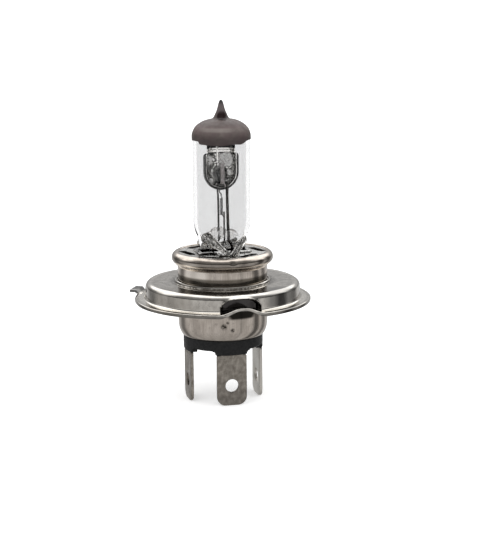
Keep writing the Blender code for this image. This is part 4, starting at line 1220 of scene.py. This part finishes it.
def make_ring(finish):
    """Pressed ring: collar round the sleeve, centring step, brim, front arch and two raised lugs."""
    collar = SLEEVE_RADIUS + GAP + RING_SHEET
    corner = STEP_RADIUS - 0.4 * STEP_DRAFT - STEP_CORNER
    face = [(collar, STEP_HEIGHT + COLLAR_HEIGHT - 0.1)]
    face += arc(collar + COLLAR_FILLET, STEP_HEIGHT + COLLAR_FILLET, COLLAR_FILLET, 180.0, 270.0, 6)
    top = [face[-1], (14.0, STEP_HEIGHT), (corner - 1.0, STEP_HEIGHT - 0.05)]
    top.append((corner - 0.3, STEP_HEIGHT - 0.02))
    face += [tuple(point) for point in smooth_path(top, 6)][1:]
    face += arc(corner, STEP_HEIGHT - STEP_CORNER, STEP_CORNER, 90.0, 0.0, 16)
    face += line(face[-1], (STEP_RADIUS, STEP_FOOT), 12)[:-1]
    face += arc(STEP_RADIUS + STEP_FOOT, STEP_FOOT, STEP_FOOT, 180.0, 266.0, 9)
    face += line(face[-1], (BRIM_RADIUS - BRIM_EDGE, -0.02), 6)[:-1]
    face += arc(BRIM_RADIUS - BRIM_EDGE, -BRIM_EDGE - 0.02, BRIM_EDGE, 90.0, 0.0, 8)
    face += [(BRIM_RADIUS, -0.72)]
    mesh = lathe(sheet(face, RING_SHEET * 0.85), 400)
    press_arch(mesh)
    ripple(mesh, 6.0, 0.05, 9.0)
    lug = [
        (20.2, -0.54), (20.9, -0.54), (21.9, LUG_RAISE - LUG_SHEET), (LUG_REACH, LUG_RAISE - LUG_SHEET),
        (LUG_REACH, LUG_RAISE), (21.6, LUG_RAISE), (20.8, 0.04), (20.2, 0.04),
    ]
    tabs = []
    for angle_deg in LUG_ANGLES:
        upright = Matrix.Rotation(math.radians(angle_deg), 4, "Z") @ Matrix.Rotation(QUARTER_TURN, 4, "X")
        tabs.append(plate([lug], LUG_WIDTH, 0.12, upright))
    mesh = combined(mesh, tabs, "UNION")
    show("pressed_ring", mesh, finish, "ring_steel", "flange_ring")


# ---------------------------------------------------------------- insulator and blades


def blade_frames():
    """Where each blade stands: its circuit's name, and the frame of its middle plane."""
    frames = []
    for circuit, angle_deg in (("dipped_beam", -90.0), ("common", 180.0), ("main_beam", 0.0)):
        turn = Matrix.Rotation(math.radians(angle_deg), 4, "Z")
        stand = Matrix.Rotation(QUARTER_TURN, 4, "Z") @ Matrix.Rotation(QUARTER_TURN, 4, "X")
        frames.append((circuit, turn @ Matrix.Translation((BLADE_DISTANCE, 0.0, 0.0)) @ stand))
    return frames


def make_insulator(finish):
    """Moulded disc in the sleeve's mouth, with a filleted boss and a slot for each blade."""
    top = DISC_HIGH.z
    outline = [(0.0, top), (10.15, top), (DISC_BODY_RADIUS, top - 0.1), (DISC_BODY_RADIUS, -6.2)]
    outline += [(10.0, -7.4), (DISC_NECK_RADIUS, -8.5), (DISC_NECK_RADIUS, -9.0), (DISC_RADIUS, -9.25)]
    outline += arc(DISC_RADIUS - 0.7, DISC_BOTTOM + 0.7, 0.7, 0.0, -90.0, 8)
    outline += [(6.9, DISC_BOTTOM), (6.5, DISC_BOTTOM + 0.35), (0.0, DISC_BOTTOM + 0.35)]
    disc = lathe(outline, 160)
    half = BLADE_WIDTH / 2.0 + 0.1
    bosses = []
    for circuit, place in blade_frames():
        low = DISC_LOW.z
        wide = half + BOSS_FILLET
        fillet_middle = DISC_BOTTOM - BOSS_FILLET
        column = [(half, low), (-half, low)] + arc(-wide, fillet_middle, BOSS_FILLET, 0.0, 90.0, 6)
        column += [(-wide, -9.6), (wide, -9.6)]
        column += arc(wide, fillet_middle, BOSS_FILLET, 90.0, 180.0, 6)
        boss = plate([column], BOSS_DEPTH, 0.12, place)
        rim = [(0.0, -9.4), (DISC_RADIUS - 0.03, -9.4)]
        rim += arc(DISC_RADIUS - 0.53, low + 0.35, 0.5, 0.0, -90.0, 5) + [(0.0, low - 0.15)]
        bosses.append(combined(boss, [lathe(rim, 160)], "INTERSECT"))
    disc = combined(disc, bosses, "UNION")
    slots = []
    reach = BLADE_NECK_WIDTH / 2.0 + GAP
    for circuit, place in blade_frames():
        hole = [(reach, 0.0), (-reach, 0.0), (-reach, -14.0), (reach, -14.0)]
        slots.append(plate([hole], BLADE_THICKNESS + 2.0 * GAP, 0.02, place))
    disc = combined(disc, slots, "DIFFERENCE")
    show("moulded_disc", disc, finish, "black_moulding", "insulator_disc")


def make_blades(finish):
    """Three flat blades with rounded edges, a hole near the end and a scored line under the shoulder."""
    half = BLADE_WIDTH / 2.0
    neck = BLADE_NECK_WIDTH / 2.0
    shoulder = DISC_LOW.z - GAP
    low = BLADE_LOW.z + BLADE_CORNER
    inside = half - BLADE_CORNER
    outline = [(neck, BLADE_HIGH.z), (-neck, BLADE_HIGH.z), (-neck, shoulder)]
    outline += arc(-half + 0.3, shoulder - 0.3, 0.3, 90.0, 180.0, 4)
    outline += arc(-inside, low, BLADE_CORNER, 180.0, 270.0, 12)
    outline += arc(inside, low, BLADE_CORNER, 270.0, 360.0, 12)
    outline += arc(half - 0.3, shoulder - 0.3, 0.3, 0.0, 90.0, 4) + [(neck, shoulder)]
    hole = arc(0.0, BLADE_LOW.z + BLADE_HOLE_ABOVE_BOTTOM, BLADE_HOLE_RADIUS, 0.0, 352.5, 47)
    score_half = 0.11
    for circuit, place in blade_frames():
        blade = plate([outline, hole], BLADE_THICKNESS, 0.09, place)
        groove = block(
            (-half - 1.0, shoulder - 0.7 - score_half, BLADE_THICKNESS / 2.0 - 0.07),
            (half + 1.0, shoulder - 0.7 + score_half, BLADE_THICKNESS / 2.0 + 0.5),
        )
        shifted = place.copy()
        shifted.translation *= MM
        groove.transform(shifted)
        blade = combined(blade, [groove], "DIFFERENCE")
        show(circuit + "_blade", blade, finish, "blade_metal", circuit + "_terminal")


# ---------------------------------------------------------------- floor, light and camera


def make_floor():
    """Pale floor under the lamp. It glows a little, which weakens shadows, and bounces no light back."""
    shape = bmesh.new()
    bmesh.ops.create_grid(shape, x_segments=2, y_segments=2, size=6000.0)
    for vertex in shape.verts:
        vertex.co.z = CAD_BOX[0][2] / MM
    floor = bpy.data.objects.new("studio_floor", finished(shape))
    bpy.context.scene.collection.objects.link(floor)
    white = (1.0, 1.0, 1.0, 1.0)
    finish = Finish(
        "studio_floor",
        {"Roughness": 0.9, "Specular IOR Level": 0.0, "Emission Color": white, "Emission Strength": 0.38},
    )
    tones = finish.tones(finish.grain(60.0), (0.0, (0.93, 0.93, 0.93)), (1.0, (0.95, 0.95, 0.95)))
    finish.link("Base Color", tones)
    floor.data.materials.append(finish.material)
    floor.visible_diffuse = False
    floor.visible_glossy = False


STUDIO_STRENGTH = 2.0
SEEN_WHITE = 1.6
# Radiance by the sine of the elevation: what mirrors see in front and behind, and what lights matt surfaces
FRONT_BY_RISE = [
    (-1.0, 0.5), (-0.3, 0.66), (-0.09, 0.72), (0.03, 0.66), (0.09, 0.16), (0.3, 0.1), (0.45, 0.26),
    (0.62, 0.18), (0.85, 0.35), (0.93, 1.3), (1.0, 1.7),
]
BEHIND_BY_RISE = [
    (-1.0, 0.5), (-0.3, 0.66), (-0.09, 0.7), (0.0, 0.4), (0.06, 0.3), (0.16, 0.5), (0.3, 0.62),
    (0.4, 1.9), (0.8, 2.0), (1.0, 1.7),
]
LIT_FRONT_BY_RISE = [(-1.0, 0.12), (-0.06, 0.2), (0.0, 0.3), (0.3, 0.9), (0.5, 1.7), (0.75, 1.5), (1.0, 1.2)]
LIT_BEHIND_BY_RISE = [(-1.0, 0.12), (-0.06, 0.2), (0.0, 0.25), (0.3, 0.5), (0.6, 1.0), (1.0, 1.2)]
# Dark flags round the lamp, by the angle about Z from the camera's side, in degrees
FLAGS = [
    (-180.0, 1.0), (-150.0, 1.0), (-132.0, 0.35), (-122.0, 0.4), (-110.0, 1.0), (-80.0, 0.85), (-60.0, 1.05),
    (-25.0, 1.0), (0.0, 0.95), (30.0, 1.05), (44.0, 1.0), (49.0, 0.6), (54.0, 1.0), (80.0, 1.1), (92.0, 0.2),
    (103.0, 0.25), (112.0, 1.1), (126.0, 0.3), (134.0, 0.35), (144.0, 1.0), (165.0, 1.0), (180.0, 1.0),
]


def grey_ramp(tree, factor, stops):
    """Ramp of greys; the levels are shares of the studio's strength."""
    ramp = add_node(tree, "ValToRGB", {"Fac": factor}, {})
    elements = ramp.color_ramp.elements
    elements[0].position, elements[1].position = stops[0][0], stops[-1][0]
    for element, stop in ((elements[0], stops[0]), (elements[1], stops[-1])):
        element.color = (stop[1], stop[1], stop[1], 1.0)
    for spot, level in stops[1:-1]:
        elements.new(spot).color = (level, level, level, 1.0)
    return ramp.outputs["Color"]


def make_studio():
    """White studio: bright ceiling, dim horizon, pale table, and dark flags that only mirrors show.

    The camera and the rays through the glass see plain white, brighter than what lights the lamp.
    """
    world = bpy.data.worlds.new("studio")
    bpy.context.scene.world = world
    world.use_nodes = True
    tree = world.node_tree
    background = tree.nodes["Background"]
    background.inputs["Strength"].default_value = STUDIO_STRENGTH

    def blend(share, first, second, mode="MIX"):
        values = {"Fac": share, "Color1": first, "Color2": second}
        return add_node(tree, "MixRGB", values, {"blend_type": mode}).outputs["Color"]

    def ramped(value, low, high):
        values = {"Value": value, "From Min": low, "From Max": high}
        return add_node(tree, "MapRange", values, {}).outputs["Result"]

    direction = add_node(tree, "TexCoord", {}, {}).outputs["Generated"]
    rise = add_node(tree, "SeparateXYZ", {"Vector": direction}, {}).outputs["Z"]
    rise = ramped(rise, -1.0, 1.0)
    front, behind, lit_front, lit_behind = (
        grey_ramp(tree, rise, [((sine + 1.0) / 2.0, level / STUDIO_STRENGTH) for sine, level in levels])
        for levels in (FRONT_BY_RISE, BEHIND_BY_RISE, LIT_FRONT_BY_RISE, LIT_BEHIND_BY_RISE)
    )
    backwards = (math.sin(VIEW_TURN), math.cos(VIEW_TURN), 0.0)
    depth = add_node(tree, "VectorMath", {0: direction, 1: backwards}, {"operation": "DOT_PRODUCT"})
    side = ramped(depth.outputs["Value"], -0.2, 0.25)
    mirrored = blend(side, front, behind)
    lit = blend(side, lit_front, lit_behind)
    turned = add_node(tree, "Mapping", {"Vector": direction, "Rotation": (0.0, 0.0, VIEW_TURN)}, {})
    around = add_node(tree, "TexGradient", {"Vector": turned.outputs["Vector"]}, {"gradient_type": "RADIAL"})
    stops = sorted(((angle - 90.0) / 360.0 + 0.5) % 1.0 for angle, level in FLAGS)
    levels = {((angle - 90.0) / 360.0 + 0.5) % 1.0: level for angle, level in FLAGS}
    flags = grey_ramp(tree, around.outputs["Fac"], [(spot, levels[spot] / 1.1) for spot in stops])
    flags = blend(ramped(rise, 0.66, 0.8), flags, (1.0, 1.0, 1.0, 1.0))
    mirrored = blend(1.0, mirrored, flags, "MULTIPLY")
    path = add_node(tree, "LightPath", {}, {})
    room = blend(path.outputs["Is Glossy Ray"], lit, mirrored)
    seen = {0: path.outputs["Is Camera Ray"], 1: path.outputs["Is Transmission Ray"]}
    seen = add_node(tree, "Math", seen, {"operation": "MAXIMUM"}).outputs["Value"]
    white = SEEN_WHITE / STUDIO_STRENGTH
    tree.links.new(blend(seen, room, (white, white, white, 1.0)), background.inputs["Color"])


def make_camera():
    """Camera at the lamp's viewing angle, aimed a little above and beside its axis."""
    data = bpy.data.cameras.new("camera")
    data.sensor_fit = "HORIZONTAL"
    data.sensor_width = VIEW_SENSOR
    data.lens = VIEW_FOCAL
    data.clip_start = 0.01
    data.clip_end = 50.0
    camera = bpy.data.objects.new("camera", data)
    bpy.context.scene.collection.objects.link(camera)
    flat, up = math.cos(VIEW_RISE), math.sin(VIEW_RISE)
    back = Vector((-flat * math.sin(VIEW_TURN), -flat * math.cos(VIEW_TURN), up))
    right = Vector((math.cos(VIEW_TURN), -math.sin(VIEW_TURN), 0.0))
    upwards = back.cross(right)
    rolled_right = right * math.cos(VIEW_ROLL) + upwards * math.sin(VIEW_ROLL)
    rolled_up = upwards * math.cos(VIEW_ROLL) - right * math.sin(VIEW_ROLL)
    centre = Vector((0.0, 0.0, VIEW_CENTRE_HEIGHT))
    spot = centre + back * VIEW_DISTANCE
    aim = centre + rolled_right * VIEW_AIM_RIGHT + rolled_up * VIEW_AIM_UP
    z_axis = (spot - aim).normalized()
    x_axis = rolled_up.cross(z_axis).normalized()
    y_axis = z_axis.cross(x_axis)
    placed = Matrix((x_axis, y_axis, z_axis)).transposed().to_4x4()
    placed.translation = spot * MM
    camera.matrix_world = placed
    bpy.context.scene.camera = camera


def build():
    """Make every piece, then the stage."""
    steel_clip, steel_plate = clip_steel(), plate_steel()
    make_glass(clear_quartz())
    make_paint(antiglare_paint())
    make_filaments(tungsten())
    make_shield(shield_metal(), rim_metal())
    make_wires(molybdenum())
    make_bridge(bridge_quartz())
    make_inner_metal(foil_metal(), lead_nickel())
    make_clip(steel_clip)
    make_top_plate(steel_plate)
    make_sleeve(sleeve_steel())
    make_ring(ring_steel())
    make_insulator(black_moulding())
    make_blades(blade_metal())
    make_floor()
    make_studio()
    make_camera()
    bpy.context.scene.view_settings.view_transform = "Standard"


build()
